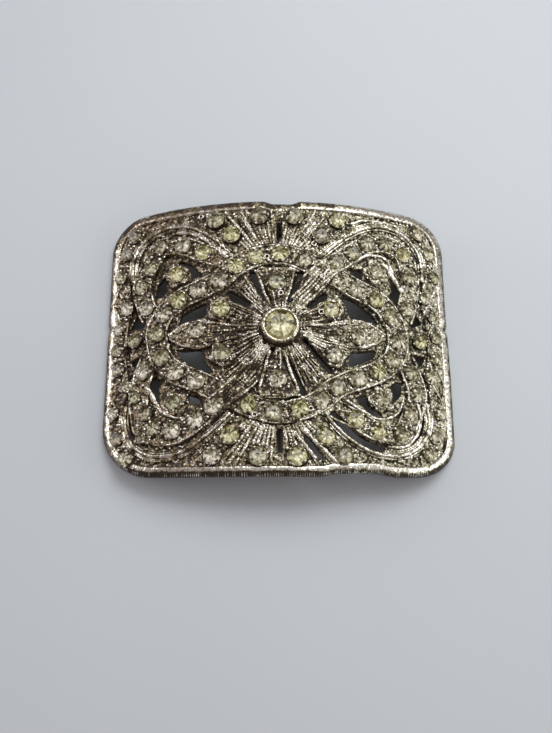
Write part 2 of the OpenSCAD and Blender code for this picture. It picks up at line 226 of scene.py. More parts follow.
def nearest_on(line, x, y):
    """The least distance from each (x, y) to a chain of segments, and the point where it is
    reached. On the segment from a to b that point is a + t (b - a). t, kept in 0 to 1, is the dot
    product of (x, y) - a and b - a, divided by the square of the segment's length."""
    best = np.full(x.shape, FAR)
    near_x, near_y = np.zeros_like(best), np.zeros_like(best)
    for (ax, ay), (bx, by) in zip(line[:-1], line[1:]):
        dx, dy = bx - ax, by - ay
        t = np.clip(((x - ax) * dx + (y - ay) * dy) / (dx * dx + dy * dy + TINY), 0, 1)
        px, py = ax + t * dx, ay + t * dy
        d = np.hypot(x - px, y - py)
        closer = d < best
        best = np.where(closer, d, best)
        near_x, near_y = np.where(closer, px, near_x), np.where(closer, py, near_y)
    return best, near_x, near_y


def distance(line, x, y, stride=3):
    """The distance alone. Every third point of a finely sampled line is near enough,
    and three times as fast."""
    thin = line if len(line) < 12 else np.vstack([line[:-1:stride], line[-1:]])
    return nearest_on(thin, x, y)[0]


def distance_both(line, x, y):
    """The distance to a line or to the same line after half a turn, whichever is less."""
    return np.minimum(distance(line, x, y), distance(-line, x, y))


def inside(outline, x, y):
    """True where a ray along +X crosses the closed outline an odd number of times."""
    odd = np.zeros(x.shape, bool)
    for (ax, ay), (bx, by) in zip(outline, np.roll(outline, -1, axis=0)):
        crosses = (ay > y) != (by > y)
        odd ^= crosses & (x < (bx - ax) * (y - ay) / (by - ay + TINY) + ax)
    return odd


def smoothstep(low, high, value):
    """0 below low, 1 above high, and the curve 3t^2 - 2t^3 between them."""
    t = np.clip((value - low) / (high - low), 0, 1)
    return t * t * (3 - 2 * t)


to_band = distance(ring_line, np.array([0.0]), np.array([0.0]))[0]
print("from the plate's middle to the band, mm:", round(to_band, 1))

# %% [markdown]
# ## The plate's outline and its openings
#
# The sides are straight, and the long edges bow in a little towards the corners. The corners are
# round, and the lower left one is rounder than the rest, because each was filed by hand. Two dents
# at the top and bottom and two small ones at the sides are old knocks. The openings are slots of a
# constant width, each a row with its two ends and its width, and windows with a few corners each.
# Booleans could cut them from a mesh, but their edges are also needed as distances, so that the
# relief can round itself towards them.

# %% The outline
HALF_H = 30.6
TOP_Y, BOTTOM_Y, SIDE_X = 31.2, -30.85, PLATE_W / 2
CORNERS = [(1, 1, 7.6), (-1, 1, 7.6), (-1, -1, 11.0), (1, -1, 8.4)]
BOW = (0.0006, 0.00000074)
UPPER_BOW_SHARE = 0.5
FULLER_RIGHT = (0.25, 0.4)


def bowed(x, y):
    """The long edges come in by BOW[0] x^2 + BOW[1] x^4, the upper one by a share of it,
    and what lies between them shrinks alike. The right side stands out a little, and
    more below its middle."""
    bow = (BOW[0] * x ** 2 + BOW[1] * x ** 4) * np.where(y > 0, UPPER_BOW_SHARE, 1.0)
    wide = smoothstep(27, 37, x) * (FULLER_RIGHT[0] + FULLER_RIGHT[1] * smoothstep(12, -8, y))
    return np.stack([x + wide, y * (1 - bow / HALF_H)], axis=-1)


def plate_outline(inset=0.0, step=0.2):
    """Four round corners joined by straight sides, set in by inset, then bowed. It runs against the
    clock. CORNERS says of each corner its side, its end and its radius."""
    arcs = []
    for quarter_turns, (side, end, corner_r) in enumerate(CORNERS):
        r = corner_r - inset
        a = np.linspace(0, np.pi / 2, 1 + int(r * np.pi / 2 / step)) + quarter_turns * np.pi / 2
        middle_x = side * (SIDE_X - corner_r)
        middle_y = (TOP_Y if end > 0 else BOTTOM_Y) - end * corner_r
        arcs.append(np.stack([middle_x + r * np.cos(a), middle_y + r * np.sin(a)], axis=1))
    parts = []
    for arc, following in zip(arcs, arcs[1:] + arcs[:1]):
        gap = np.linalg.norm(following[0] - arc[-1])
        t = np.linspace(0, 1, int(gap / step) + 1, endpoint=False)[1:, None]
        parts += [arc, arc[-1] + t * (following[0] - arc[-1])]
    line = np.vstack(parts)
    return bowed(line[:, 0], line[:, 1])


print("points on the outline:", len(plate_outline()))

# %% The old knocks
KNOCKS = {
    "top": (0.75, -3.4, -0.6, 3.0, 5.4),
    "bottom": (0.75, 8.5, 13.0, 20.0, 25.0),
    "left": (0.4, 2.8, 4.3, 4.5, 6.0),
    "right": (0.4, 2.6, 4.0, 4.1, 5.4),
}


def worn_in(line):
    """How far the knocks push each point of the outline in. A knock is 0 up to its start, reaches
    its depth, and fades to 0 at its end, with a smooth step on each side."""
    x, y = line[:, 0], line[:, 1]
    sides = {"top": (x, y > 20), "bottom": (x, y < -20), "left": (y, x < -30), "right": (y, x > 30)}
    push = np.zeros(len(line))
    for side, (depth, start, full, fading, end) in KNOCKS.items():
        along, on_side = sides[side]
        rise, fall = smoothstep(start, full, along), smoothstep(end, fading, along)
        push = push + depth * rise * fall * on_side
    return push


print("deepest knock, mm:", round(worn_in(plate_outline()).max(), 2))

# %% The slots and windows
SLOTS = [
    (5.0, 13.3, 2.6, 6.6, 1.1), (-1.0, -4.6, -2.2, -6.9, 0.9), (-10.2, 8.9, -6.4, 6.3, 1.6),
    (5.7, -2.4, 11.1, -8.5, 0.9), (6.9, 5.7, 10.1, 8.5, 1.2), (6.1, -23.2, 8.7, -26.8, 1.1),
    (-5.2, 13.2, -1.9, 6.8, 1.4), (5.2, -13.2, 1.9, -6.8, 1.4), (0.5, 21.7, 0.5, 25.8, 1.1),
    (0.5, -21.7, 0.5, -25.8, 1.1),
]
CURVED_SLOT_W = 0.55
WIRE_SLOT = [(-11.2, 17.7), (-14.2, 20.9), (-18.0, 23.7), (-21.6, 24.6)]
CORNER_SLOTS = [
    [(30.9, -16.8), (30.6, -19.7), (29.2, -22.3)], [(-31.9, -16.5), (-31.2, -19.8), (-29.3, -22.5)],
]
WIDE_SLOT = [(11.6, -17.95), (14.4, -20.8), (18.0, -23.5), (21.6, -24.45)]
WIDE_SLOT_W = 1.35
WINDOWS = [
    [(-15.1, 7.3), (-17.5, 6.4), (-20.4, 4.9), (-21.2, 2.9), (-19.0, 3.5), (-15.8, 3.9),
     (-15.2, 5.0)],
    [(13.3, 8.7), (15.5, 8.3), (18.5, 6.5), (20.8, 4.3), (21.5, 2.9), (19.5, 3.3), (16.2, 3.3),
     (15.2, 4.9), (14.9, 6.4)],
    [(24.5, 16.2), (25.9, 13.0), (27.3, 10.1), (26.0, 8.7), (24.3, 9.7), (25.1, 11.2),
     (24.9, 13.2)],
    [(15.6, 15.4), (18.2, 15.2), (18.4, 13.0), (16.4, 13.9)],
    [(-24.3, 14.6), (-24.3, 11.8), (-23.9, 10.9), (-25.3, 9.6), (-26.7, 9.9), (-26.0, 12.8)],
    [(-16.3, 13.9), (-18.5, 13.2), (-18.9, 15.3), (-21.8, 17.2), (-21.3, 17.8), (-18.6, 16.6)],
    [(28.7, 3.0), (29.0, 4.4), (30.6, 6.0), (31.6, 4.3), (30.5, 3.9)],
    [(28.6, -3.2), (30.2, -3.0), (32.0, -3.2), (31.4, -4.8), (30.4, -5.9), (28.8, -4.9)],
]
print("slots:", len(SLOTS) + 2 + len(CORNER_SLOTS), "windows:", 2 * len(WINDOWS))

# %% Distance into the metal
RELIEF_INSET = 1.2


def closed_ring(points):
    """The points of an outline with the first one repeated at the end."""
    points = np.array(points)
    return np.vstack([points, points[:1]])


relief_edge = closed_ring(plate_outline(RELIEF_INSET))
strips = [(np.array([(x1, y1), (x2, y2)]), width) for x1, y1, x2, y2, width in SLOTS]
strips += [(curve(line, 0.5), CURVED_SLOT_W) for line in [WIRE_SLOT, *CORNER_SLOTS]]
strips += [(curve(WIDE_SLOT, 0.5), WIDE_SLOT_W)]
window_rings = [closed_ring(window) for window in WINDOWS + [turned(w) for w in WINDOWS]]


def beyond_strip(line, width, x, y):
    """How far each point lies outside a slot with round ends, which is the distance to its middle
    line less width / 2, and the nearest point of the slot's edge."""
    d, px, py = nearest_on(line, x, y)
    away = np.maximum(d, 1e-6)
    return d - width / 2, px + (x - px) / away * width / 2, py + (y - py) / away * width / 2


def nearer(found, other):
    """Of two answers, each a distance and the point it is measured to, the one
    with the lesser distance."""
    closer = other[0] < found[0]
    return tuple(np.where(closer, new, old) for new, old in zip(other, found))


def solid_distance(x, y):
    """How far each point lies inside the metal: above 0 in it, below 0 in an opening or off the
    plate. The nearest point of the edge comes with it."""
    d, near_x, near_y = nearest_on(relief_edge, x, y)
    found = (np.where(inside(relief_edge, x, y), d, -d), near_x, near_y)
    for line, width in strips:
        found = nearer(found, beyond_strip(line, width, x, y))
    for ring in window_rings:
        d, near_x, near_y = nearest_on(ring, x, y)
        found = nearer(found, (np.where(inside(ring, x, y), -d, d), near_x, near_y))
    return found


in_slot = solid_distance(*np.array(WIDE_SLOT[1])[:, None])[0]
print("depth in the metal at a point of the wide slot, mm:", in_slot.round(2))

# %% [markdown]
# ## The relief
#
# The face of the casting is a landscape: low ground, fans, side columns, loops that pass
# under and over the eye-shaped band, and a cone in the middle that carries the rosette. A
# function gives its level at any point, later forms laid over earlier ones. The same function
# then sets the wires and rays on it. Sculpting could reach the same face, but it would say
# nothing about where a wire has to lie.

# %% Levels of the relief
GROUND_LEVEL = -1.05
FAN_LEVEL = -0.85
COLUMN_LEVEL = -0.5
BAND_LEVEL = -0.42
CROSSING_RISE = 0.55
CONE_TOP_R, CONE_TOP_LEVEL = 4.4, 1.15
CONE_FOOT_R, CONE_FOOT_LEVEL = 13.5, -1.35
CONE_SLOPE = (CONE_FOOT_LEVEL - CONE_TOP_LEVEL) / (CONE_FOOT_R - CONE_TOP_R)
OVER_CONE = 0.15
DEEP_DOWN = -9
RING_HALF_W, LOOP_HALF_W, COLUMN_HALF_W = 2.45, 2.2, 1.95
ROSETTE_HALF = (24, 16)
FAN_FOCUS_Y = 13.3
SOFT_EDGE = 0.12


def strip(d, half_width):
    """1 on a strip, 0 off it, with a short slope at its edge."""
    return smoothstep(half_width + SOFT_EDGE, half_width - SOFT_EDGE, d)


def lay(level, mask, new):
    """Lays a form of another level over what is there, where the mask is 1."""
    return level + mask * (new - level)


print("a strip fades over a width of, mm:", 2 * SOFT_EDGE)

# %% The petals
PETAL_LEVEL = -0.25
PETAL_PAD_R, LEAF_PAD_R = 2.75, 2.7
SIDE_LEAF = [(4.5, 0.8), (10.0, 1.5), (14.0, 2.6), (17.0, 3.0), (20.0, 2.3), (23.4, 0.2)]
WEDGE = [(-0.6, 4.4), (1.4, 4.6), (4.0, 13.2), (3.4, 14.3), (-3.8, 14.4), (-4.6, 13.5), (-1.2, 4.8)]
leaf_half = curve(SIDE_LEAF, 0.3)
leaf_outline = np.vstack([leaf_half, (leaf_half * [1, -1])[::-1]])


def lobed(x, y, middle_x, middle_y, depth=0.4, lobes=5):
    """The distance from the middle of a pad less depth cos(lobes angle), so a
    limit on it has lobes."""
    d, a = np.hypot(x - middle_x, y - middle_y), np.arctan2(y - middle_y, x - middle_x)
    return d - depth * np.cos(lobes * a + middle_x)


def petals(level, x, y, r):
    """The petals: lobed pads under the outer stones, a wedge above and below the middle and a long
    leaf to each side, joined to the cone."""
    for side in (1, -1):
        within = inside(leaf_outline * side, x, y)
        d = distance(closed_ring(leaf_outline) * side, x, y)
        mask = smoothstep(-SOFT_EDGE, SOFT_EDGE, np.where(within, d, -d))
        ridge = 0.35 * smoothstep(0.0, 2.2, np.where(within, d, 0))
        level = np.maximum(level, lay(level, mask, PETAL_LEVEL + ridge))
        within = inside(np.array(WEDGE) * side, x, y)
        wedge_level = np.maximum(CONE_TOP_LEVEL - 0.22 * (r - CONE_TOP_R), -0.1)
        level = np.where(within, np.maximum(level, wedge_level), level)
    for sx, sy, _ in both(PETAL_STONES[:3]):
        pad = strip(lobed(x, y, sx, sy, 0.3), PETAL_PAD_R)
        level = np.maximum(level, lay(level, pad, PETAL_LEVEL + 0.3))
    for sx, sy, _ in both(LEAF_STONES):
        level = np.maximum(level, lay(level, strip(lobed(x, y, sx, sy), LEAF_PAD_R), PETAL_LEVEL))
    return level


print("points round one side leaf:", len(leaf_outline))

# %% The level at any point
def relief_level(x, y):
    """The level of the casting's face at each flat point. The cone falls by CONE_SLOPE for
    each mm beyond its top."""
    level = np.full(x.shape, GROUND_LEVEL)
    lean = np.abs(x) / np.maximum(np.abs(y) - FAN_FOCUS_Y, 0.1)
    fan = smoothstep(1.05, 0.95, lean) * smoothstep(19.0, 20.0, np.abs(y))
    level = lay(level, fan, FAN_LEVEL)
    to_ring = distance(ring_line, x, y)
    for side in (1, -1):
        column = strip(distance(column_line * side, x, y), COLUMN_HALF_W)
        level = lay(level, column, COLUMN_LEVEL)
        level = lay(level, strip(distance(loop_under * side, x, y), LOOP_HALF_W), BAND_LEVEL)
    r = np.hypot(x - BEZEL_AT[0], y - BEZEL_AT[1])
    in_rosette = (np.abs(y) < ROSETTE_HALF[1]) & (np.abs(x) < ROSETTE_HALF[0]) & (to_ring > 1.5)
    cone = CONE_TOP_LEVEL + CONE_SLOPE * (np.maximum(r, CONE_TOP_R) - CONE_TOP_R)
    level = np.where(in_rosette, np.maximum(level, cone), level)
    level = petals(level, x, y, r)
    level = lay(level, strip(to_ring, RING_HALF_W), BAND_LEVEL)
    for side in (1, -1):
        over = strip(distance(loop_over * side, x, y), LOOP_HALF_W)
        at_crossing = smoothstep(2.6, 1.6, distance(crossing_line * side, x, y))
        band = BAND_LEVEL + CROSSING_RISE * (smoothstep(3.4, 2.2, to_ring) * at_crossing)
        on_cone = np.where(in_rosette, cone + OVER_CONE, DEEP_DOWN)
        level = lay(level, over, np.maximum(band, on_cone))
    return level


print("level of the ground at a corner:", relief_level(np.array([30.0]), np.array([24.0])).round(2))

# %% [markdown]
# Cast metal is never smooth where nobody polished it. Three layers of value noise give
# the surface its grain. Value noise puts a random number on each point of a coarse
# grid and blends between them.

# %% Value noise
NOISE_TABLE = 256
GRAIN_LAYERS = [(0.07, 2.2, 1), (0.12, 0.9, 2), (0.13, 0.45, 3)]


def value_noise(x, y, size, seed):
    """A random height at each point of a grid of the given size, blended with
    smooth steps between them."""
    table = np.random.default_rng(seed).uniform(-1, 1, (NOISE_TABLE, NOISE_TABLE))
    u, v = x / size + 64.0, y / size + 64.0
    i, j = np.floor(u).astype(int), np.floor(v).astype(int)
    s, t = smoothstep(0, 1, u - i), smoothstep(0, 1, v - j)

    def corner(di, dj):
        return table[(i + di) % NOISE_TABLE, (j + dj) % NOISE_TABLE]

    low = corner(0, 0) * (1 - s) + corner(1, 0) * s
    high = corner(0, 1) * (1 - s) + corner(1, 1) * s
    return low * (1 - t) + high * t


def cast_grain(x, y):
    """The sum of the layers, each given by its height, its size and its seed."""
    return sum(height * value_noise(x, y, size, seed) for height, size, seed in GRAIN_LAYERS)


print("most that the grain adds, mm:", round(sum(height for height, _, _ in GRAIN_LAYERS), 2))

# %% [markdown]
# ## From a landscape to a solid
#
# The landscape is sampled on a grid. Grid points that lie within half a step of an opening's edge
# are moved onto it, so the edge comes out clean with no small triangles. What lies deeper in the
# opening is left out. The same net, facing down, makes the back, and walls join the two along every
# open edge, so each piece is a closed solid. A displaced plane would have no walls, and cutting the
# holes with booleans would be slow.

# %% The grid and its openings
STEP = 0.2
NET_MARGIN = 0.6
columns = np.arange(-PLATE_W / 2 + NET_MARGIN, PLATE_W / 2 - NET_MARGIN + STEP, STEP)
rows = np.arange(BOTTOM_Y + NET_MARGIN, TOP_Y - NET_MARGIN + STEP, STEP)
grid_x, grid_y = np.meshgrid(columns, rows)
depth_in, edge_x, edge_y = solid_distance(grid_x, grid_y)
deep = depth_in < -0.5 * STEP
snap = np.abs(depth_in) <= 0.5 * STEP
net_x, net_y = np.where(snap, edge_x, grid_x), np.where(snap, edge_y, grid_y)
depth_in = np.where(snap, 0, depth_in)
print("points of the net:", net_x.size, "of which in openings:", int(deep.sum()))

# %% The heights of the net
EDGE_ROUND = 0.28
CALM_FROM, CALM_TO, CALM = 27.3, 28.3, 0.7
short_of_edge = np.clip(EDGE_ROUND - depth_in, 0, EDGE_ROUND)
rounding = EDGE_ROUND - np.sqrt(EDGE_ROUND ** 2 - short_of_edge ** 2)
roughness = 1 - CALM * smoothstep(CALM_FROM, CALM_TO, np.abs(net_y))
net_level = relief_level(net_x, net_y) + roughness * cast_grain(net_x, net_y) - rounding
print("lowest and highest level of the face:", np.round([net_level.min(), net_level.max()], 2))

# %% [markdown]
# Grime stays in the hollows. A point is hollow when it lies lower than the ground around it, so its
# level is compared with the same landscape after a blur. The ground within 12 to 15 mm of the
# bezel's middle, where the rays lie, is darker still.

# %% How hollow each point lies
HOLLOW_MIDDLE, HOLLOW_GAIN = 0.47, 0.7
BLUR_TIMES = 24
UNDER_RAYS = 0.2


def blurred(field, times):
    """The field averaged with its neighbours, times over."""
    for _ in range(times):
        sides = sum(np.roll(field, way, axis) for axis in (0, 1) for way in (1, -1))
        field = (sides + 2 * field) / 6
    return field


to_bezel = np.hypot(net_x - BEZEL_AT[0], net_y - BEZEL_AT[1])
dip = blurred(net_level, BLUR_TIMES) - net_level
under_rays = UNDER_RAYS * smoothstep(15, 12, to_bezel)
net_hollow = np.clip(HOLLOW_MIDDLE + HOLLOW_GAIN * dip + under_rays, 0, 1)
print("mean hollowness:", round(float(net_hollow.mean()), 3))

# %% Meshes from arrays
def new_mesh(name, verts, triangles=None, quads=None, smooth=True, attributes=None):
    """Puts arrays of points in mm and of corner numbers into a mesh of its own, in metres."""
    mesh = bpy.data.meshes.new(name)
    corners, sizes = [], []
    for faces in (triangles, quads):
        if faces is not None and len(faces):
            corners.append(np.asarray(faces).ravel())
            sizes.append(np.full(len(faces), np.shape(faces)[1]))
    corners = np.concatenate(corners).astype(np.int32)
    sizes = np.concatenate(sizes).astype(np.int32)
    starts = np.concatenate([[0], np.cumsum(sizes)[:-1]]).astype(np.int32)
    mesh.vertices.add(len(verts))
    mesh.vertices.foreach_set("co", (np.asarray(verts) * MM).astype(np.float32).ravel())
    mesh.loops.add(len(corners))
    mesh.loops.foreach_set("vertex_index", corners)
    mesh.polygons.add(len(sizes))
    mesh.polygons.foreach_set("loop_start", starts)
    mesh.polygons.foreach_set("use_smooth", np.full(len(sizes), smooth))
    mesh.update(calc_edges=True)
    mesh.validate()
    for key, (domain, values) in (attributes or {}).items():
        layer = mesh.attributes.new(key, "FLOAT", domain)
        layer.data.foreach_set("value", np.asarray(values, np.float32).ravel())
    return mesh


def new_piece(name, mesh, material):
    """An object at the origin that rides on the buckle, with its finish."""
    piece = bpy.data.objects.new(name, mesh)
    bpy.context.scene.collection.objects.link(piece)
    mesh.materials.append(material)
    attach(piece, "root")
    return piece


print("pieces ride on the one body, root")

# %% A closed solid from part of the net
BACK_LEVEL = UNDER_LEVEL + 0.02
# The back gets a painted shade, which darkens what shows of it through the openings.
BACK_PAINTED_SHADE = 0.55


def net_faces(label):
    """Two triangles for each cell that carries the label. A cell is split along the diagonal whose
    two ends are there, and triangles with a corner in an opening are left out."""
    number = np.arange(grid_x.size).reshape(grid_x.shape)
    a, b, c, d = number[:-1, :-1], number[:-1, 1:], number[1:, 1:], number[1:, :-1]
    gone = deep.ravel()
    other_way = (gone[a] | gone[c])[..., None]
    first = np.where(other_way, np.stack([a, b, d], -1), np.stack([a, b, c], -1))
    second = np.where(other_way, np.stack([b, c, d], -1), np.stack([a, c, d], -1))
    chosen = cell_label == label
    faces = np.concatenate([first[chosen], second[chosen]])
    return faces[~gone[faces].any(axis=1)]


def open_edges(faces):
    """The edges that only one triangle has, in the direction in which that triangle passes them."""
    edges = np.concatenate([faces[:, [0, 1]], faces[:, [1, 2]], faces[:, [2, 0]]])
    key = edges[:, 0] * grid_x.size + edges[:, 1]
    back_key = edges[:, 1] * grid_x.size + edges[:, 0]
    return edges[~np.isin(key, back_key)]


def solid_net(label):
    """The part of the net whose cells carry a label, as a closed solid: face, back and walls."""
    faces = net_faces(label)
    used, new_faces = np.unique(faces, return_inverse=True)
    new_faces = new_faces.reshape(-1, 3)
    rim = np.searchsorted(used, open_edges(faces))
    x, y, level = net_x.ravel()[used], net_y.ravel()[used], net_level.ravel()[used]
    n = len(used)
    walls = np.stack([rim[:, 1], rim[:, 0], rim[:, 0] + n, rim[:, 1] + n], axis=1)
    points = np.vstack([bend(x, y, level), bend(x, y, BACK_LEVEL)])
    triangles = np.vstack([new_faces, new_faces[:, ::-1] + n])
    hollow = np.concatenate([net_hollow.ravel()[used], np.full(n, BACK_PAINTED_SHADE)])
    mesh = new_mesh("relief", points, triangles, walls, attributes={"hollow": ("POINT", hollow)})
    mesh.set_sharp_from_angle(angle=np.radians(50))
    return mesh


middle_x = (grid_x[:-1, :-1] + grid_x[1:, 1:]) / 2
middle_y = (grid_y[:-1, :-1] + grid_y[1:, 1:]) / 2
on_band = distance(ring_line, middle_x, middle_y) < RING_HALF_W + 0.1
in_eye = inside(ring_line, middle_x, middle_y)
quarter = np.where(middle_y > 0, np.where(middle_x < 0, 2, 3), np.where(middle_x < 0, 4, 5))
cell_label = np.where(on_band, 1, np.where(in_eye, 0, quarter))
RELIEF_NAMES = [
    "rosette_relief", "eye_band_relief", "upper_left_relief", "upper_right_relief",
    "lower_left_relief", "lower_right_relief",
]
print("cells of each relief piece:", [int((cell_label == i).sum()) for i in range(6)])

# %% [markdown]
# ## Finishes
#
# A shader is a small sum: a mask times a colour, one minus a mask, and so on. Written with nodes
# alone it is hard to read, so a socket is wrapped in a class that understands arithmetic. Each
# operator adds one Math node, and one method adds any other node.

# %% Arithmetic on sockets
class Value:
    """A shader socket. Sums on it add Math nodes, and node() adds a node of any other kind."""

    def __init__(self, tree, socket=None):
        self.tree, self.socket = tree, socket

    def node(self, kind, settings, sockets, out=0):
        """Adds a node, sets its settings first, then gives each socket a value or a link."""
        made = self.tree.nodes.new("ShaderNode" + kind)
        for key, value in settings.items():
            if key == "stops":
                for _ in range(len(value) - 2):
                    made.color_ramp.elements.new(0.5)
                for stop, (at, shade) in zip(made.color_ramp.elements, value):
                    stop.position, stop.color = at, shade
            else:
                setattr(made, key, value)
        for key, value in sockets.items():
            if isinstance(value, Value):
                self.tree.links.new(value.socket, made.inputs[key])
            else:
                made.inputs[key].default_value = value
        return Value(self.tree, made.outputs[out])

    def maths(self, operation, a, b):
        """A Math node on two numbers or values."""
        return self.node("Math", {"operation": operation}, {0: a, 1: b})

    def __add__(self, other):
        return self.maths("ADD", self, other)

    def __radd__(self, other):
        return self.maths("ADD", other, self)

    def __sub__(self, other):
        return self.maths("SUBTRACT", self, other)

    def __rsub__(self, other):
        return self.maths("SUBTRACT", other, self)

    def __mul__(self, other):
        return self.maths("MULTIPLY", self, other)

    def __rmul__(self, other):
        return self.maths("MULTIPLY", other, self)

    def between(self, low, high):
        """0 below low, 1 above high and a smooth step between them."""
        limits = {"Value": self, "From Min": low, "From Max": high, "To Min": 0.0, "To Max": 1.0}
        return self.node("MapRange", {"interpolation_type": "SMOOTHSTEP"}, limits)

    def mix(self, low, high):
        """The colour low where this value is 0 and high where it is 1."""
        return self.node("Mix", {"data_type": "RGBA"}, {0: self, 6: low, 7: high}, out=2)

    def place(self):
        """Object coordinates, which stay with the piece."""
        return self.node("TexCoord", {}, {}, out=3)

    def noise(self, size_mm, detail=2.0, where=None):
        """Noise on Object coordinates, whose lumps are about size_mm across."""
        sockets = {"Vector": where or self.place(), "Scale": 1 / (size_mm * MM), "Detail": detail}
        return self.node("TexNoise", {}, sockets)

    def bump(self, height, strength, depth_mm):
        """A normal that leans as a surface with this height would."""
        sockets = {"Height": height, "Strength": strength, "Distance": depth_mm * MM}
        return self.node("Bump", {}, sockets)

    def stored(self, name):
        """A number that the mesh stores under a name."""
        return self.node("Attribute", {"attribute_name": name}, {}, out=2)


def new_material(name):
    """A material with an empty Principled surface, its socket wrapper and its shader node."""
    material = bpy.data.materials.new(name)
    material.use_nodes = True
    tree = material.node_tree
    return material, Value(tree), tree.nodes["Principled BSDF"]


def feed(value, shader, socket):
    """Links a value to a socket of the shader."""
    value.tree.links.new(value.socket, shader.inputs[socket])


def to_right(value):
    """0 at the left of the buckle and 1 at the right. The left is warmer and
    darker, the right greener."""
    x = value.node("SeparateXYZ", {}, {0: value.place()}, out=0)
    return x.between(-20 * MM, 25 * MM)


print("finishes are built from expressions")

# %% [markdown]
# The casting is white metal with a silver wash. It is bright where hands and cloth rubbed it and
# holds dark brown grime where they did not. The meshes store a number for grime and painted shade:
# on the face of the casting it is how hollow each point lies, and on the rim, the cups, the bezel,
# the grains, the wire feet and the back it is painted light and shade. Noise breaks that up, and
# the result decides between clean metal, dull metal and dark brown, which is grime and painted
# shade. A dirt layer painted by hand would do too, but this one follows every new form by itself.
# The left of the buckle has aged warmer, with a violet tinge in its grime, and the right greener.

# %% Aged silver
WORN_SILVER = (0.795, 0.772, 0.69, 1)
WARM_PEWTER = (0.33, 0.26, 0.165, 1)
GREEN_PEWTER = (0.38, 0.36, 0.25, 1)
DARK_GRIME_AND_SHADE = (0.028, 0.018, 0.008, 1)
VIOLET_GRIME_AND_SHADE = (0.062, 0.046, 0.046, 1)


def aged_silver(name, cleaner=0.0, grain=0.9):
    """Silver, dull silver and dark brown by the stored grime and painted shade, and noise. cleaner
    above 0 keeps more of it bright, and grain is how strongly the noise roughens it."""
    material, value, shader = new_material(name)
    hollow, right = value.stored("hollow"), to_right(value)
    lumps, specks, film = value.noise(1.1), value.noise(0.52, detail=1.0), value.noise(9.0)
    uneven = 1.05 * (lumps - 0.5) + 1.45 * (specks - 0.5) + 0.4 * (film - 0.5)
    # The stored number is grime on the face of the casting and painted light and shade on the rim,
    # cups, bezel, grains, wire feet and back, so the dark brown it picks is grime and painted
    # shade.
    soil_and_painted_shade = hollow - cleaner + uneven + 0.07 * (1 - right)
    grime_and_shade_mask, dull = soil_and_painted_shade.between(0.40, 0.66), soil_and_painted_shade.between(0.0, 0.36)
    metal = dull.mix(WORN_SILVER, right.mix(WARM_PEWTER, GREEN_PEWTER))
    violet = value.noise(3.0).between(0.5, 0.75) * (1 - right)
    feed(grime_and_shade_mask.mix(metal, violet.mix(DARK_GRIME_AND_SHADE, VIOLET_GRIME_AND_SHADE)), shader, "Base Color")
    feed(1.0 - 0.75 * grime_and_shade_mask, shader, "Metallic")
    feed(0.17 + 0.10 * dull + 0.3 * grime_and_shade_mask + 0.08 * specks, shader, "Roughness")
    height = value.noise(0.36, detail=1.0) * 1.3 + lumps
    feed(value.bump(height, strength=grain, depth_mm=0.24), shader, "Normal")
    return material


cast_silver = aged_silver("cast_silver")
wire_silver = aged_silver("wire_silver", cleaner=0.1, grain=0.45)
rim_silver = aged_silver("rim_silver", cleaner=0.05, grain=0.28)
print("metal finishes:", cast_silver.name, wire_silver.name, rim_silver.name)

# %% The relief pieces
for label, name in enumerate(RELIEF_NAMES):
    piece = new_piece(name, solid_net(label), cast_silver)
    if label == 0:
        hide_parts("buckle_casting")
    print(name, "triangles and walls:", len(piece.data.polygons))

# %% [markdown]
# ## The rim
#
# The rim is one profile carried round the outline: a wall with the fine upright marks of a file, a
# steep chamfer, a land, and a short drop to the ground inside. The chamfer is wide along the top
# and along the left half of the bottom, and elsewhere it is narrow. The wall and the chamfer carry
# a painted shade, so the narrow chamfer shows as a thin dark outer line. The land carries painted
# light: it is painted brightest at the two sides and along the bottom, and along the top it is
# brown at the left and painted brighter towards the right, as a painted reflection. Bevelling the
# plate's own edge would give one even bevel, and this one is uneven, so the profile and its painted
# light and shade change along the way.

# %% The rim's profile and its painted light and shade
RIM_PROFILE = np.array([
    (0.0, -2.3), (0.0, -1.5), (0.16, -1.15), (0.48, -0.78), (0.7, -0.64), (1.05, -0.54),
    (1.4, -0.47), (1.7, -0.44), (1.95, -0.62), (2.12, -1.2), (2.12, -2.3),
])
# The shades of each side are painted light: a painted shade on the wall and chamfer and painted
# highlights on the land.
RIM_PAINTED_LIGHT = {
    "top": [0.9, 0.95, 0.95, 0.75, 0.6, 0.65, 0.5, -0.2, 0.3, 0.9, 0.95],
    "bottom": [0.95, 0.95, 0.95, 1.0, 0.85, -0.1, -0.5, -0.4, 0.4, 0.9, 0.95],
    "right": [0.9, 1.0, 1.0, 1.0, 1.0, 0.0, -0.3, -0.1, 0.5, 0.9, 0.95],
    "left": [0.9, 1.0, 1.0, 1.0, 0.85, -0.6, -0.6, -0.1, 0.5, 0.9, 0.95],
}
CHAMFER_END = 0.9
NARROW_CHAMFER = 0.6
WIDER_TOP = 0.22
RIM_STEP = 0.09
FILE_MARK_DEPTH = 0.09
FILE_MARK_PITCH = 0.46
FILE_MARK_REACH = 0.6


def rim_line():
    """The outline at even steps: the way walked, the points and the directions
    square to it, inwards."""
    line = closed_ring(plate_outline(0.0, RIM_STEP))
    walked = walked_along(line)
    at = np.arange(0, walked[-1], RIM_STEP)
    line = np.stack([np.interp(at, walked, column) for column in line.T], axis=1)
    way = np.roll(line, -6, axis=0) - np.roll(line, 6, axis=0)
    way /= np.linalg.norm(way, axis=1)[:, None]
    return at, line, np.stack([-way[:, 1], way[:, 0]], axis=1)


def rim_shares(line):
    """How much each point belongs to the top, bottom, right and left. The
    four shares add up to 1."""
    top, bottom = smoothstep(20, 28, line[:, 1]), smoothstep(-20, -28, line[:, 1])
    right = (1 - top - bottom) * (line[:, 0] > 0)
    return {"top": top, "bottom": bottom, "right": right, "left": 1 - top - bottom - right}


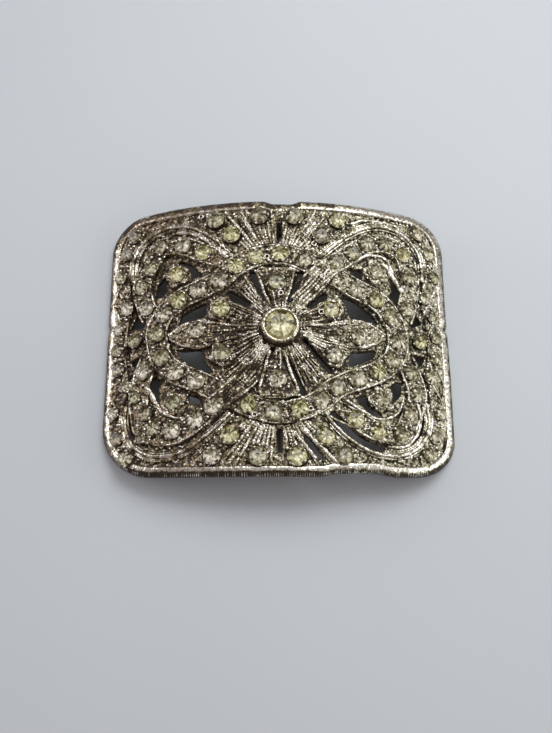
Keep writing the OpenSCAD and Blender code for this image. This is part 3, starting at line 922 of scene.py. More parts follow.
def file_marks(at):
    """Upright marks: a cosine of the way walked, whose strength and pitch wander with noise."""
    strength = np.clip(0.75 + 0.7 * value_noise(at, 0 * at, 0.8, 16), 0.1, 1.3)
    wander = 3 * value_noise(at, 0 * at, 1.6, 15)
    return strength * np.cos(2 * np.pi * at / FILE_MARK_PITCH + wander)


print("points of the rim's profile:", len(RIM_PROFILE))

# %% The rim
def rim_inset(line, top):
    """The profile's insets at each point of the outline: narrow up to CHAMFER_END, except along the
    top and the left half of the bottom, and all a little wider along the top."""
    wide_bottom = smoothstep(-26.5, -30.0, line[:, 1]) * smoothstep(16, 4, line[:, 0])
    wide = np.maximum(top, wide_bottom)
    narrow = (NARROW_CHAMFER + (1 - NARROW_CHAMFER) * wide)[:, None]
    inset = RIM_PROFILE[:, 0][None, :]
    return np.where(inset < CHAMFER_END, inset * narrow, inset) * (1 + WIDER_TOP * top[:, None])


def rim_painted_light_and_wear(line, share, x, y, crest, outer):
    """The painted light and shade of the four sides blended by their shares, less towards the right
    along the top, where a painted reflection lightens it, and less on the crests of the file marks."""
    level = RIM_PROFILE[:, 1][None, :]
    hollow = sum(part[:, None] * np.array(RIM_PAINTED_LIGHT[side]) for side, part in share.items())
    # Along the top, towards the right, the darker parts are painted lighter as a painted
    # reflection.
    painted_sheen_top_right = (share["top"] * smoothstep(4, 22, line[:, 0]))[:, None]
    hollow = hollow - 0.45 * painted_sheen_top_right * (hollow > 0.4) * (level > -1.2)
    hollow = hollow + 0.3 * value_noise(x, y, 2.0, 9) - 0.95 * np.maximum(crest, 0) * (outer > 0.1)
    return np.clip(hollow, 0, 1)


def rim_mesh():
    """At each point of the outline, the profile's insets go along the inward normal and its levels
    outward from the bend. Knocks and file marks push the profile in, and noise roughens it."""
    at, line, inward = rim_line()
    share = rim_shares(line)
    inset, level = rim_inset(line, share["top"]), RIM_PROFILE[:, 1][None, :]
    outer = np.clip(1 - inset / FILE_MARK_REACH, 0, 1)
    crest = file_marks(at)[:, None]
    push = worn_in(line)[:, None] + FILE_MARK_DEPTH * crest * outer + FILE_MARK_DEPTH
    x = line[:, :1] + inward[:, :1] * (inset + push)
    y = line[:, 1:] + inward[:, 1:] * (inset + push)
    wobble = value_noise(x, y, 1.6, 7) * 0.07 + value_noise(x, y, 0.5, 8) * 0.05
    points = bend(x, y, level + (level > -1.5) * wobble)
    points[..., 2] = np.maximum(points[..., 2], 0.02)
    a = np.arange(x.size).reshape(x.shape)
    b, d = np.roll(a, -1, axis=0), np.roll(a, -1, axis=1)
    quads = np.stack([a, b, np.roll(b, -1, axis=1), d], axis=-1).reshape(-1, 4)
    hollow = {"hollow": ("POINT", rim_painted_light_and_wear(line, share, x, y, crest, outer))}
    return new_mesh("rim", points.reshape(-1, 3), quads=quads, attributes=hollow)


rim = new_piece("bevelled_rim", rim_mesh(), rim_silver)
print("faces of the rim:", len(rim.data.polygons))

# %% [markdown]
# ## Wires and rays
#
# Rails, rays and rows of beads are all the same thing: a round section carried along a line that
# lies on the relief. A smooth one is a polished wire. With a radius that swells and shrinks along
# the way it becomes the row of small beads that casters copy from milled wire. A bevelled curve
# object could carry the section too, but here all the sections of one wire come from one formula,
# which also stores grime and a painted shade along its foot, and its ends close in a point.

# %% Gathering many closed shapes
class Pile:
    """Gathers the arrays of many closed shapes, to put them into one mesh."""

    def __init__(self):
        self.verts, self.quads, self.triangles, self.hollow = [], [], [], []
        self.count = 0

    def add(self, verts, quads, triangles, hollow):
        """Adds one shape. Its corner numbers start from 0 and are moved up
        past those already there."""
        self.verts.append(verts)
        self.quads.append(np.asarray(quads, int).reshape(-1, 4) + self.count)
        self.triangles.append(np.asarray(triangles, int).reshape(-1, 3) + self.count)
        self.hollow.append(hollow)
        self.count += len(verts)

    def piece(self, name, material):
        """Makes the one piece from everything that was added."""
        triangles, quads = np.vstack(self.triangles), np.vstack(self.quads)
        hollow = {"hollow": ("POINT", np.concatenate(self.hollow))}
        mesh = new_mesh(name, np.vstack(self.verts), triangles, quads, attributes=hollow)
        print(name, "triangles:", len(mesh.polygons) + len(quads))
        return new_piece(name, mesh, material)


print("a pile keeps shapes apart, each one closed")

# %% A round section along a line
WIRE_SIDES = 8
WIRE_ANGLES = 2 * np.pi * np.arange(WIRE_SIDES) / WIRE_SIDES


def outward(x, z):
    """The direction straight out of the bend at a point."""
    up = np.stack([x, np.zeros_like(x), z - AXIS_Z], axis=-1)
    return up / np.linalg.norm(up, axis=-1, keepdims=True)


def tube_points(centre, size, flatten):
    """A ring of points round each point of the centre line: point k lies at angle
    2 pi k / WIRE_SIDES, at size times its cosine across the line and flatten size times
    its sine out of the bend."""
    way = np.gradient(centre, axis=0)
    way /= np.linalg.norm(way, axis=1)[:, None]
    across = np.cross(way, outward(centre[:, 0], centre[:, 2]))
    across /= np.linalg.norm(across, axis=1)[:, None]
    up = np.cross(across, way)
    cosine, sine = np.cos(WIRE_ANGLES)[None, :, None], np.sin(WIRE_ANGLES)[None, :, None]
    ring = cosine * across[:, None] + flatten * sine * up[:, None]
    return centre[:, None] + size[:, None, None] * ring


def tube_faces(n):
    """Quads between the n rings, and a fan of triangles round one more point at each end."""
    number = np.arange(n * WIRE_SIDES).reshape(n, WIRE_SIDES)
    after = np.roll(number, -1, axis=1)
    quads = np.stack([number[1:], after[1:], after[:-1], number[:-1]], axis=-1).reshape(-1, 4)
    first = np.full(WIRE_SIDES, n * WIRE_SIDES)
    caps = np.concatenate([
        np.stack([number[0], after[0], first], axis=1),
        np.stack([after[-1], number[-1], first + 1], axis=1),
    ])
    return quads, caps


print("points round a wire:", WIRE_SIDES)

# %% Wires that lie on the relief
BEAD_PITCH = 0.66
BEAD_DEPTH = 0.3
WIRE_STEP = 0.3
WIRE_WANDER = 0.09
SETTLE = 0.5


def settled_level(x, y, step):
    """The relief's level along a line, averaged over SETTLE mm to each side,
    because a wire is stiff."""
    reach = max(1, int(SETTLE / step))
    padded = np.pad(relief_level(x, y), reach, mode="edge")
    return np.convolve(padded, np.ones(2 * reach + 1) / (2 * reach + 1), "valid")


def wire(pile, line, radius, sit=0.0, beaded=False, flatten=1.0, dirt=0.0):
    """A tube along a flat line, whose middle lies sit above the relief. A smooth wire's radius
    wanders with noise, and a beaded one's follows |sin(pi s / BEAD_PITCH)| along the way s."""
    line = np.asarray(line, float)
    if len(line) < 4:
        return
    step = BEAD_PITCH / 8 if beaded else WIRE_STEP
    walked = walked_along(line)
    at = np.linspace(0, walked[-1], max(6, int(walked[-1] / step)))
    x, y = np.interp(at, walked, line[:, 0]), np.interp(at, walked, line[:, 1])
    sideways = [WIRE_WANDER * value_noise(x, y, 1.7, seed) for seed in (12, 13)]
    x, y = x + sideways[0], y + sideways[1]
    centre = bend(x, y, settled_level(x, y, step) + sit)
    bulge = np.abs(np.sin(np.pi * at / BEAD_PITCH))
    if beaded:
        size = radius * (1 - BEAD_DEPTH / 2 + BEAD_DEPTH * bulge)
    else:
        size = radius * (1 + 0.3 * value_noise(x, y, 0.7, 5) + 0.15 * value_noise(x, y, 3.5, 6))
    to_end = np.clip(np.minimum(at, walked[-1] - at) / radius, 0.02, 1)
    size = size * np.sqrt(np.clip(1 - (1 - to_end) ** 2, 0.02, 1))
    points = tube_points(centre, size, flatten)
    # The lower side of each wire, where it meets the relief, gets grime and a painted shade.
    foot_grime_and_shade = 0.85 * smoothstep(0.45, -0.35, np.sin(WIRE_ANGLES))[None, :]
    hollow = foot_grime_and_shade + dirt + 0.5 * value_noise(x, y, 1.3, 14)[:, None]
    if beaded:
        hollow = hollow + 0.45 * (1 - bulge)[:, None]
    verts = np.vstack([points.reshape(-1, 3), centre[:1], centre[-1:]])
    hollow = np.concatenate([np.clip(hollow, 0, 1).ravel(), [0.5, 0.5]])
    pile.add(verts, *tube_faces(len(at)), hollow)


def runs(line, keep):
    """The stretches of a line whose points pass a test."""
    ends = np.flatnonzero(np.diff(np.concatenate([[0], keep.astype(int), [0]])))
    return [line[a:b] for a, b in zip(ends[::2], ends[1::2]) if b - a > 3]


print("wires and beads share one formula")

# %% The rails of the bands
RAIL_R = 0.27
RAIL_SIT = 0.08
RAIL_DIRT = 0.22
RING_RAIL, LOOP_RAIL = RING_HALF_W - 0.28, LOOP_HALF_W - 0.26
ring_rails, loop_rails = Pile(), Pile()
for offset in (-RING_RAIL, RING_RAIL):
    rail = beside(ring_line, offset)
    under_loop = distance_both(loop_over, *rail.T) < LOOP_HALF_W
    for stretch in runs(rail, ~(under_loop & (distance_both(crossing_line, *rail.T) < 3.2))):
        wire(ring_rails, stretch, RAIL_R, RAIL_SIT, dirt=RAIL_DIRT)
for side in (1, -1):
    for offset in (-LOOP_RAIL, LOOP_RAIL):
        rail = beside(loop_over * side, offset)
        near_end = np.arange(len(rail)) > 0.8 * len(rail)
        clear = ~(near_end & (distance(ring_line, *rail.T) < RING_HALF_W))
        for stretch in runs(rail, clear):
            wire(loop_rails, stretch, RAIL_R, RAIL_SIT, dirt=RAIL_DIRT)
        rail = beside(loop_under * side, offset)
        for stretch in runs(rail, distance(ring_line, *rail.T) > RING_HALF_W):
            wire(loop_rails, stretch, RAIL_R, RAIL_SIT, dirt=RAIL_DIRT)
ring_rails.piece("band_rails", cast_silver)
loop_rails.piece("loop_rails", cast_silver)

# %% [markdown]
# Outside each loop runs a heavy wire with a thin one on each side and a row of beads. Inside the
# loops and at the side rims lie more loose wires, no two alike, so each is given as a few points. A
# broad flat one closes the lower end of two loops. Nothing crosses the wide slot at the lower
# right.

# %% The lines of the loose wires
OUTER_WIRE_OVER = [
    (9.5, 17.5), (12.0, 20.0), (15.5, 23.0), (19.5, 25.3), (24.0, 26.1), (28.2, 24.9), (31.2, 21.8),
    (32.3, 17.5), (32.0, 14.2),
]
OUTER_WIRE_UNDER = [
    (-10.2, 18.4), (-13.5, 21.8), (-17.2, 24.5), (-21.0, 25.8), (-25.5, 25.8), (-29.2, 24.0),
    (-31.6, 20.8), (-32.2, 17.0), (-31.7, 13.8),
]
INNER_WIRES = [
    [(16, 15.5), (18, 17.6), (20.5, 18.9), (23, 19), (24.7, 17.5), (26, 14), (27.3, 10.5)],
    [(14, -14.5), (17, -16.3), (20, -18), (23, -18), (25.5, -16.5), (26.5, -14), (26.8, -12.5)],
    [(-28, -10.5), (-26, -13.5), (-24, -16.5), (-22, -17.8), (-19.5, -18.3)],
    [(16, 26), (19, 27.2), (24, 27.4), (28.5, 26.5)],
    [(-32.8, -15), (-33, -17), (-32, -20.5), (-30, -23.5), (-27, -25.3), (-23, -25.8),
     (-18, -24.5)],
    [(12, -17), (15, -20), (19, -23.3), (23, -24), (27, -23.5), (29.5, -20.5), (30.2, -17),
     (29.5, -14)],
]
SIDE_WIRES = [
    [(32.0, -5.5), (33.2, -9.0), (35.2, -12.7), (36.2, -16.0)],
    [(36.5, -5.5), (36.2, -9.8), (35.3, -13.0), (33.6, -15.6)],
    [(33.2, 2.0), (34.8, 6.0), (36.2, 9.5)],
]
BROAD_WIRE = [(-27.6, -10.8), (-26.2, -13.4), (-24.6, -15.8), (-22.6, -17.4)]
OVER_SLOT_WIRE = [(-10.6, 17.1), *WIRE_SLOT, (-23.4, 24.5)]
print("lines inside the loops and at the sides:", len(INNER_WIRES), len(SIDE_WIRES))

# %% Loose wires beside the loops
SLOT_CLEAR_INNER, SLOT_CLEAR_FINE = 1.05, 0.95
FLAT = 0.7
loose_wires = Pile()
wide_slot = curve(WIDE_SLOT)
for points in INNER_WIRES:
    line = curve(points)
    for stretch in runs(line, distance(wide_slot, *line.T) > SLOT_CLEAR_INNER):
        wire(loose_wires, stretch, radius=0.38, sit=0.12, dirt=0.15)
for points in SIDE_WIRES:
    for flip in ((1, 1), (-1, 1), (-1, -1), (1, -1)):
        wire(loose_wires, curve(np.array(points) * flip), radius=0.3, sit=0.06, dirt=0.25)
for side in (1, -1):
    wire(loose_wires, curve(BROAD_WIRE) * side, radius=0.75, flatten=FLAT)
wire(loose_wires, curve(OVER_SLOT_WIRE), radius=0.6, sit=0.12, flatten=FLAT)
outer_wires = [OUTER_WIRE_OVER, turned(OUTER_WIRE_OVER)]
outer_wires += [OUTER_WIRE_UNDER, turned(OUTER_WIRE_UNDER)]
for points in outer_wires:
    wire(loose_wires, curve(points), radius=0.46, sit=0.5, dirt=0.12)
    for offset, beaded in ((-0.62, False), (0.62, False), (1.0, True)):
        line = beside(curve(points), offset)
        for stretch in runs(line, distance(wide_slot, *line.T) > SLOT_CLEAR_FINE):
            wire(loose_wires, stretch, radius=0.24, sit=0.22, beaded=beaded, dirt=0.3)
loose_wires.piece("loose_wires", wire_silver)

# %% Wires on the two crossings
CROSSING_WIRES = [(4.1, 6.1), (6.2, 8.6), (8.2, 10.9), (11.4, 14.4)]
CROSSING_OFFSETS = ((-1.5, False), (-0.75, True), (0.0, True), (0.75, True), (1.5, False))
crossing_middle = curve(CROSSING_WIRES)
crossing_wires = Pile()
for side, dirt in ((1, 0.15), (-1, 0.4)):
    for offset, beaded in CROSSING_OFFSETS:
        line = beside(crossing_middle * side, offset)
        radius = 0.3 if beaded else 0.36
        wire(crossing_wires, line, radius, sit=0.12, beaded=beaded, dirt=dirt)
crossing_wires.piece("crossing_wires", cast_silver)

# %% The side columns
column_rails = Pile()
for side in (1, -1):
    line = beside(column_line * side, COLUMN_HALF_W - 0.2)
    wire(column_rails, line, radius=0.26, sit=0.02, beaded=True, dirt=0.3)
column_rails.piece("column_rails", cast_silver)

# %% [markdown]
# The rosette's rays leave the bezel in bundles, smooth ones between the petals and rows of
# beads on them, and two fans of rays stand beyond the band. Each ray is a straight line from
# a focus, cut where it would run into a stone, a loop or an opening. Their lengths and radii
# are uneven, as hand work is.

# %% The rosette's rays
POLISHED_RAYS = [
    113, 117, 121, 125, 129, 133, 137, 147, 150, 154, 214, 218, 222, 226, 230, 234, 238, 242, 292,
    296, 300, 304, 308, 312, 316, 334, 338, 342, 346, 350, 33, 37, 45, 49, 53, 57, 61, 65, 69,
]
BEADED_RAYS = [
    159, 165, 172, 180, 188, 196, 203, 209, 352, 0, 8, 15, 21, 28, 84, 92, 100, 262, 270, 278,
]
RAY_POINTS = 120
rays = Pile()
petal_stones_xy = np.array([stone[:2] for stone in both(PETAL_STONES)])
uneven = np.random.default_rng(31)


def off_stones(line, stones_xy, room):
    """True where a line keeps this much room from the middle of every stone."""
    return np.linalg.norm(line[:, None] - stones_xy[None], axis=2).min(axis=1) > room


for angle in POLISHED_RAYS + BEADED_RAYS:
    beaded = angle in BEADED_RAYS
    way = np.array([np.cos(np.radians(angle)), np.sin(np.radians(angle))])
    reach = np.linspace(4.0 + uneven.uniform(0, 1.0), 24, RAY_POINTS)[:, None]
    line = np.array(BEZEL_AT) + reach * way
    clear = (distance(ring_line, *line.T) > RING_HALF_W) & inside(ring_line, *line.T)
    clear &= off_stones(line, petal_stones_xy, 1.9)
    clear &= distance_both(loop_over, *line.T) > LOOP_HALF_W - 0.2
    clear &= solid_distance(*line.T)[0] > 0.15
    clear &= (reach[:, 0] < uneven.uniform(12.5, 15.5)) | beaded
    for stretch in runs(line, clear)[:1]:
        radius, sit = uneven.uniform(0.17, 0.31), uneven.uniform(0.04, 0.18)
        wire(rays, stretch, radius, sit, beaded, dirt=uneven.uniform(-0.1, 0.3))
rays.piece("rosette_rays", cast_silver)

# %% Petal edges and leaf rows
PETAL_ARC = [(-5.0, 13.9), (-2.5, 14.4), (0.0, 14.5), (2.5, 14.4), (5.0, 13.9)]
WEDGE_SIDES = [[(-1.3, 4.8), (-4.5, 13.6)], [(1.5, 4.6), (3.7, 13.2)]]
LEAF_START = 8
leaf_line = curve(SIDE_LEAF)
petal_wires = Pile()
for side in (1, -1):
    for mirror in (1, -1):
        edge = leaf_line * [side, side * mirror]
        wire(petal_wires, edge[LEAF_START:], radius=0.36, sit=0.14, dirt=0.12)
    wire(petal_wires, curve(PETAL_ARC) * side, radius=0.32, sit=0.3, dirt=0.1)
for side in (1, -1):
    for ends in WEDGE_SIDES:
        wire(petal_wires, curve(np.array(ends) * side), radius=0.34, sit=0.22, dirt=0.05)
petal_wires.piece("petal_wires", cast_silver)

# %% The two outer fans
FAN_BARS = [
    [(-4.4, 21.2), (-7.2, 26.3)], [(5.9, 22.0), (8.6, 26.0)], [(4.8, -20.8), (12.5, -28.3)],
    [(3.2, -21.5), (8.0, -27.5)], [(-5.9, 20.8), (-10.8, 27.3)],
]
FAN_ROWS = [-46, -42, -37, -33, -28, -24, -19, -15, -10, -5, 5, 10, 15, 20, 24, 29, 33, 37, 42, 46]
FAN_TOP_Y = 28.7
fans = Pile()
fan_stones_xy = np.array([stone[:2] for stone in both(FAN_STONES)])
for ends in FAN_BARS:
    wire(fans, curve(ends), radius=0.46, sit=0.38, dirt=-0.45)
for side in (1, -1):
    for angle in FAN_ROWS:
        way = np.array([np.sin(np.radians(angle)), np.cos(np.radians(angle))])
        reach = np.linspace(5, 22, RAY_POINTS)[:, None]
        line = (np.array([0, FAN_FOCUS_Y]) + reach * way) * side
        clear = (distance(ring_line, *line.T) > RING_HALF_W) & off_stones(line, fan_stones_xy, 2.1)
        clear &= (np.abs(line[:, 1]) < FAN_TOP_Y) & (solid_distance(*line.T)[0] > 0.2)
        clear &= distance_both(loop_over, *line.T) > LOOP_HALF_W
        clear &= distance_both(loop_under, *line.T) > LOOP_HALF_W
        for stretch in runs(line, clear):
            radius, dirt = uneven.uniform(0.3, 0.42), uneven.uniform(0.0, 0.3)
            wire(fans, stretch, radius, sit=0.12, beaded=abs(angle) % 3 == 0, dirt=dirt)
fans.piece("fan_rays", cast_silver)

# %% [markdown]
# ## Cups
#
# Each stone sits in a turned cup with a thin lip pressed over its edge. A cup is a ring with one
# closed profile, turned round the stone's own axis, which stands square to the bend. A Screw
# modifier could turn one cup at a time. Here all the cups are computed in one go: one profile, one
# table of stones, and a small frame of three directions for each stone.

# %% Placing turned shapes on the bend
def seats(stones):
    """For each stone its point on the level of the stones and the directions
    along, across and out."""
    x, y = stones[:, 0], stones[:, 1]
    lean = np.arcsin(x / BEND_R)
    zero, one = np.zeros_like(x), np.ones_like(x)
    origin = np.stack([x, y, AXIS_Z + BEND_R * np.cos(lean)], axis=1)
    along = np.stack([np.cos(lean), zero, -np.sin(lean)], axis=1)
    across = np.stack([zero, one, zero], axis=1)
    out = np.stack([np.sin(lean), zero, np.cos(lean)], axis=1)
    return origin, along, across, out


def placed(u, v, w, stones):
    """Points with local coordinates u, v, w, of shape (stones, points), in the buckle's own frame:
    the stone's place plus u along, v across and w out."""
    origin, along, across, out = [part[:, None] for part in seats(stones)]
    return origin + u[..., None] * along + v[..., None] * across + w[..., None] * out


def turned_quads(sides, rings, closed=True):
    """The quads of a surface of rings of points, ring after ring, closed round
    and, if asked, end to end."""
    number = np.arange(rings * sides).reshape(rings, sides)
    below = number if closed else number[:-1]
    above = np.roll(number, -1, axis=0) if closed else number[1:]
    corners = [below, np.roll(below, -1, 1), np.roll(above, -1, 1), above]
    return np.stack(corners, axis=-1).reshape(-1, 4)


def repeated(faces, stones, count):
    """The faces of a shape that has count points, once for each stone: copy k adds k count
    to each corner number."""
    shift = (np.arange(len(stones)) * count)[:, None, None]
    return (faces[None] + shift).reshape(-1, faces.shape[1])


print("quads between two rings of eight points:", len(turned_quads(8, 2, closed=False)))

# %% Cups
# The cups' outer walls and the crevice at the stone get a painted shade, and the lip is lighter.
LOW_CUP = [
    (-0.05, -0.75), (0.3, -0.75), (0.26, -0.2), (0.2, 0.0), (0.12, 0.06), (0.04, 0.03),
    (-0.05, -0.1),
]
LOW_CUP_PAINTED_SHADE = [0.95, 1.0, 0.85, 0.4, 0.25, 0.6, 1.0]
TALL_CUP = [
    (-0.05, -1.2), (0.4, -1.4), (0.34, -0.25), (0.26, 0.0), (0.16, 0.08), (0.06, 0.04),
    (-0.05, -0.2),
]
TALL_CUP_PAINTED_SHADE = [1.0, 1.0, 0.75, 0.35, 0.2, 0.9, 1.0]


def cup_ring(pile, stones, rise, profile, painted_shade, sides=20, bump=0.06):
    """Rings turned from a closed profile of (distance beyond the stone's edge, level)."""
    stones = np.array([(*s, r) for s, r in zip(stones, np.broadcast_to(rise, len(stones)))])
    profile = np.array(profile)
    a = 2 * np.pi * np.arange(sides) / sides
    radius = stones[:, 2, None, None] / 2 + profile[None, :, 0, None]
    wave = 1 + bump * np.random.default_rng(11).normal(size=(len(stones), 1, sides)) / radius
    u, v = radius * wave * np.cos(a), radius * wave * np.sin(a)
    w = np.broadcast_to(stones[:, 3, None, None] + profile[None, :, 1, None], u.shape)
    count = len(profile) * sides
    points = placed(*[part.reshape(-1, count) for part in (u, v, w)], stones)
    quads = repeated(turned_quads(sides, len(profile)), stones, count)
    hollow = np.broadcast_to(np.array(painted_shade)[None, :, None], u.shape).ravel()
    pile.add(points.reshape(-1, 3), quads, np.zeros((0, 3)), hollow)


loop_stones = both(LOOP_UNDER_STONES) + UPPER_RIGHT_STONES + LOWER_LEFT_STONES
band_rows = both(RING_STONES) + loop_stones
edge_rows = both(COLUMN_STONES) + both(SIDE_STONES)
tall_rows = both(FAN_STONES) + both(LEAF_STONES)
cups = Pile()
cup_ring(cups, band_rows + edge_rows, 0.0, LOW_CUP, LOW_CUP_PAINTED_SHADE)
cup_ring(cups, tall_rows, 0.0, TALL_CUP, TALL_CUP_PAINTED_SHADE)
cup_ring(cups, both(PETAL_STONES), PETAL_RISE, TALL_CUP, TALL_CUP_PAINTED_SHADE)
cups.piece("stone_cups", cast_silver)

# %% [markdown]
# The centre bezel is tall, with a broad round lip that decades of wear polished. Its wall and the
# crevice at the stone carry a painted shade.

# %% The centre bezel
BEZEL_PROFILE = [
    (-0.12, -3.6), (1.3, -3.6), (1.25, -2.2), (1.18, -0.95), (1.08, -0.2), (0.95, 0.08),
    (0.7, 0.22), (0.42, 0.2), (0.2, 0.08), (0.02, -0.12), (-0.12, -0.45),
]
# The bezel's wall and the crevice at the stone get a painted shade.
BEZEL_PAINTED_SHADE = [0.9, 1.0, 1.0, 0.9, 0.6, 0.3, 0.25, 0.3, 0.45, 0.95, 1.0]
bezel = Pile()
cup_ring(bezel, [CENTRE_STONE], CENTRE_RISE, BEZEL_PROFILE, BEZEL_PAINTED_SHADE, sides=48, bump=0.03)
bezel.piece("centre_bezel", rim_silver)

# %% [markdown]
# ## Grains
#
# Between the cups the setter raised small grains of metal, and pressed others over the edge of
# each stone as prongs. Some larger ones were punched with a ring tool, so they look like tiny
# eyes. The low ground between all this is pebbled. Instances of one ball would do too, but
# balls that are computed together become one plain mesh at once, and because they come by the
# hundred each keeps few faces.

# %% Grains
def ball_faces(sides, rings):
    """The quads of a ball without its poles, and a fan of triangles round each
    pole, which come last."""
    count = rings * sides + 2
    low, high = np.arange(sides), (rings - 1) * sides + np.arange(sides)
    caps = np.concatenate([
        np.stack([np.full(sides, count - 2), np.roll(low, -1), low], axis=1),
        np.stack([np.full(sides, count - 1), high, np.roll(high, -1)], axis=1),
    ])
    return turned_quads(sides, rings, closed=False), caps


def grains(pile, places, radius, sit=0.0, sides=8, rings=5):
    """Balls that stand sit above the relief: ring i lies at angle
    pi i / (rings + 1) from the lower pole."""
    places = np.asarray(places, float)
    stones = np.column_stack([places[:, :2], np.broadcast_to(radius, len(places))])
    level = relief_level(stones[:, 0], stones[:, 1]) + sit
    up = np.pi * np.arange(1, rings + 1) / (rings + 1)
    a = 2 * np.pi * np.arange(sides) / sides
    r = stones[:, 2, None, None]
    u = r * np.sin(up)[None, :, None] * np.cos(a)
    v = r * np.sin(up)[None, :, None] * np.sin(a)
    w = level[:, None, None] - r * np.cos(up)[None, :, None] + 0 * a
    poles = np.stack([level - stones[:, 2], level + stones[:, 2]], axis=1)
    ends = (np.zeros_like(poles), np.zeros_like(poles), poles)
    rows = [np.hstack([part.reshape(len(stones), -1), end]) for part, end in zip((u, v, w), ends)]
    points = placed(*rows, stones)
    quads, caps = [repeated(part, stones, rings * sides + 2) for part in ball_faces(sides, rings)]
    # The lower half of each grain gets a painted shade, and its top is kept clean.
    tone = np.repeat(0.75 * smoothstep(0.4, -0.6, -np.cos(up)), sides)
    tones = np.tile(np.concatenate([tone, [0.9, 0.0]]), len(stones))
    pile.add(points.reshape(-1, 3), quads, caps, tones)


def between_stones(stones, offset=1.05):
    """Two places beside the middle of each pair of neighbouring stones, to set grains at."""
    p = np.array([s[:2] for s in stones])
    middle, way = (p[1:] + p[:-1]) / 2, p[1:] - p[:-1]
    gap = np.linalg.norm(way, axis=1)
    way /= gap[:, None]
    side = np.stack([-way[:, 1], way[:, 0]], axis=1)
    near = gap < 6
    return np.vstack([middle[near] + o * side[near] for o in (-offset, offset)])


ring_rows = both(RING_STONES)
spots = np.vstack([
    between_stones(ring_rows + ring_rows[:1], offset=1.25),
    between_stones(LOOP_UNDER_STONES),
    between_stones(turned(LOOP_UNDER_STONES)),
    between_stones(UPPER_RIGHT_STONES),
    between_stones(LOWER_LEFT_STONES),
    between_stones(COLUMN_STONES, offset=0.7),
    between_stones(turned(COLUMN_STONES), offset=0.7),
])
bits = Pile()
grains(bits, spots, radius=0.4, sit=0.25)
print("grains between stones:", len(spots))

# %% Prongs and punched grains
PRONG_REACH = 0.16
PUNCHED_W = 0.7
PUNCHED = [
    (-17, 27.8), (8.1, 20.6), (7.4, 15.8), (10.9, 13.6), (9.7, 12.4), (9.3, 4.2), (31, 8.5),
    (34.7, 18), (18.6, -20.3), (6.9, -17), (-4.6, -18.3), (-0.9, -12), (-2.2, 17), (0.8, 8.2),
]
PUNCHED_PROFILE = [(-0.1, -0.6), (0.34, -0.6), (0.32, -0.1), (0.2, 0.1), (0.06, 0.07), (-0.1, -0.2)]
# The punched grains' foot and middle get a painted shade, and the lip is kept clean.
PUNCHED_PAINTED_SHADE = [0.9, 0.9, 0.4, -0.3, -0.1, 1.0]


def prongs(stones, level, radius, count=4, seed=3):
    """Small grains pressed over the edge of each stone, at even angles from a random start."""
    rng = np.random.default_rng(seed)
    rows = np.array([s[:3] for s in stones])
    turn = rng.uniform(0, 2 * np.pi, (len(rows), 1)) + 2 * np.pi * np.arange(count) / count
    turn = turn + rng.normal(0, 0.15, turn.shape)
    x = rows[:, :1] + (rows[:, 2:] / 2 + PRONG_REACH) * np.cos(turn)
    y = rows[:, 1:2] + (rows[:, 2:] / 2 + PRONG_REACH) * np.sin(turn)
    places = np.stack([x.ravel(), y.ravel()], axis=1)
    radius = radius * rng.uniform(0.8, 1.25, len(places))
    grains(bits, places, radius, level - relief_level(*places.T), rings=4)


prongs(band_rows + edge_rows, level=0.02, radius=0.3)
prongs(tall_rows, level=0.0, radius=0.32, seed=4)
prongs(both(PETAL_STONES), level=PETAL_RISE - 0.05, radius=0.32, seed=5)
punched_rows = [(x, y, PUNCHED_W) for x, y in PUNCHED]
punched_level = relief_level(*np.array(PUNCHED, float).T) + 0.5
cup_ring(bits, punched_rows, punched_level, PUNCHED_PROFILE, PUNCHED_PAINTED_SHADE, sides=14, bump=0.0)
bits.piece("grains", wire_silver)

# %% Pebbles of cast metal
PEBBLE_TRIES = 3600
PEBBLE_R = (0.15, 0.4)
PEBBLE_MARGIN = 2
PEBBLE_FROM_EDGE, PEBBLE_FROM_STONE = 0.35, 0.25
rng = np.random.default_rng(41)
tried_x = rng.uniform(-SIDE_X + PEBBLE_MARGIN, SIDE_X - PEBBLE_MARGIN, PEBBLE_TRIES)
tried_y = rng.uniform(BOTTOM_Y + PEBBLE_MARGIN, TOP_Y - PEBBLE_MARGIN, PEBBLE_TRIES)
tried = np.stack([tried_x, tried_y], axis=1)
all_stones = np.array(band_rows + tall_rows + both(PETAL_STONES) + edge_rows + [CENTRE_STONE])
to_middles = np.linalg.norm(tried[:, None] - all_stones[None, :, :2], axis=2)
to_stones = (to_middles - all_stones[:, 2] / 2).min(axis=1)
kept = tried[(solid_distance(*tried.T)[0] > PEBBLE_FROM_EDGE) & (to_stones > PEBBLE_FROM_STONE)]
pebbles = Pile()
grains(pebbles, kept, rng.uniform(*PEBBLE_R, len(kept)), sit=-0.03, sides=6, rings=3)
pebbles.piece("pebbles", cast_silver)

# %% [markdown]
# ## The stones
#
# A brilliant is a few rings of points: the middle of the table, a small ring where the point below
# shows through, the table's edge, the crown, the girdle, and the point at the bottom. Real foiled
# glass shows the facets of its back through its table, as a star of light and dark wedges. That
# star is painted on the faces as painted light and shade, because light that truly passes through a
# hundred stones would leave a noisy picture. The faces also get painted light that is darker
# towards the top of the plate and lighter towards the bottom, and the faces at the girdle get a
# painted dark outline. The gloss on each facet comes from the lights.
#
# The glass has aged in its own way in each cup. Most stones are clear, some turned straw yellow,
# others dull olive, and where water got behind them their foil went smoky.

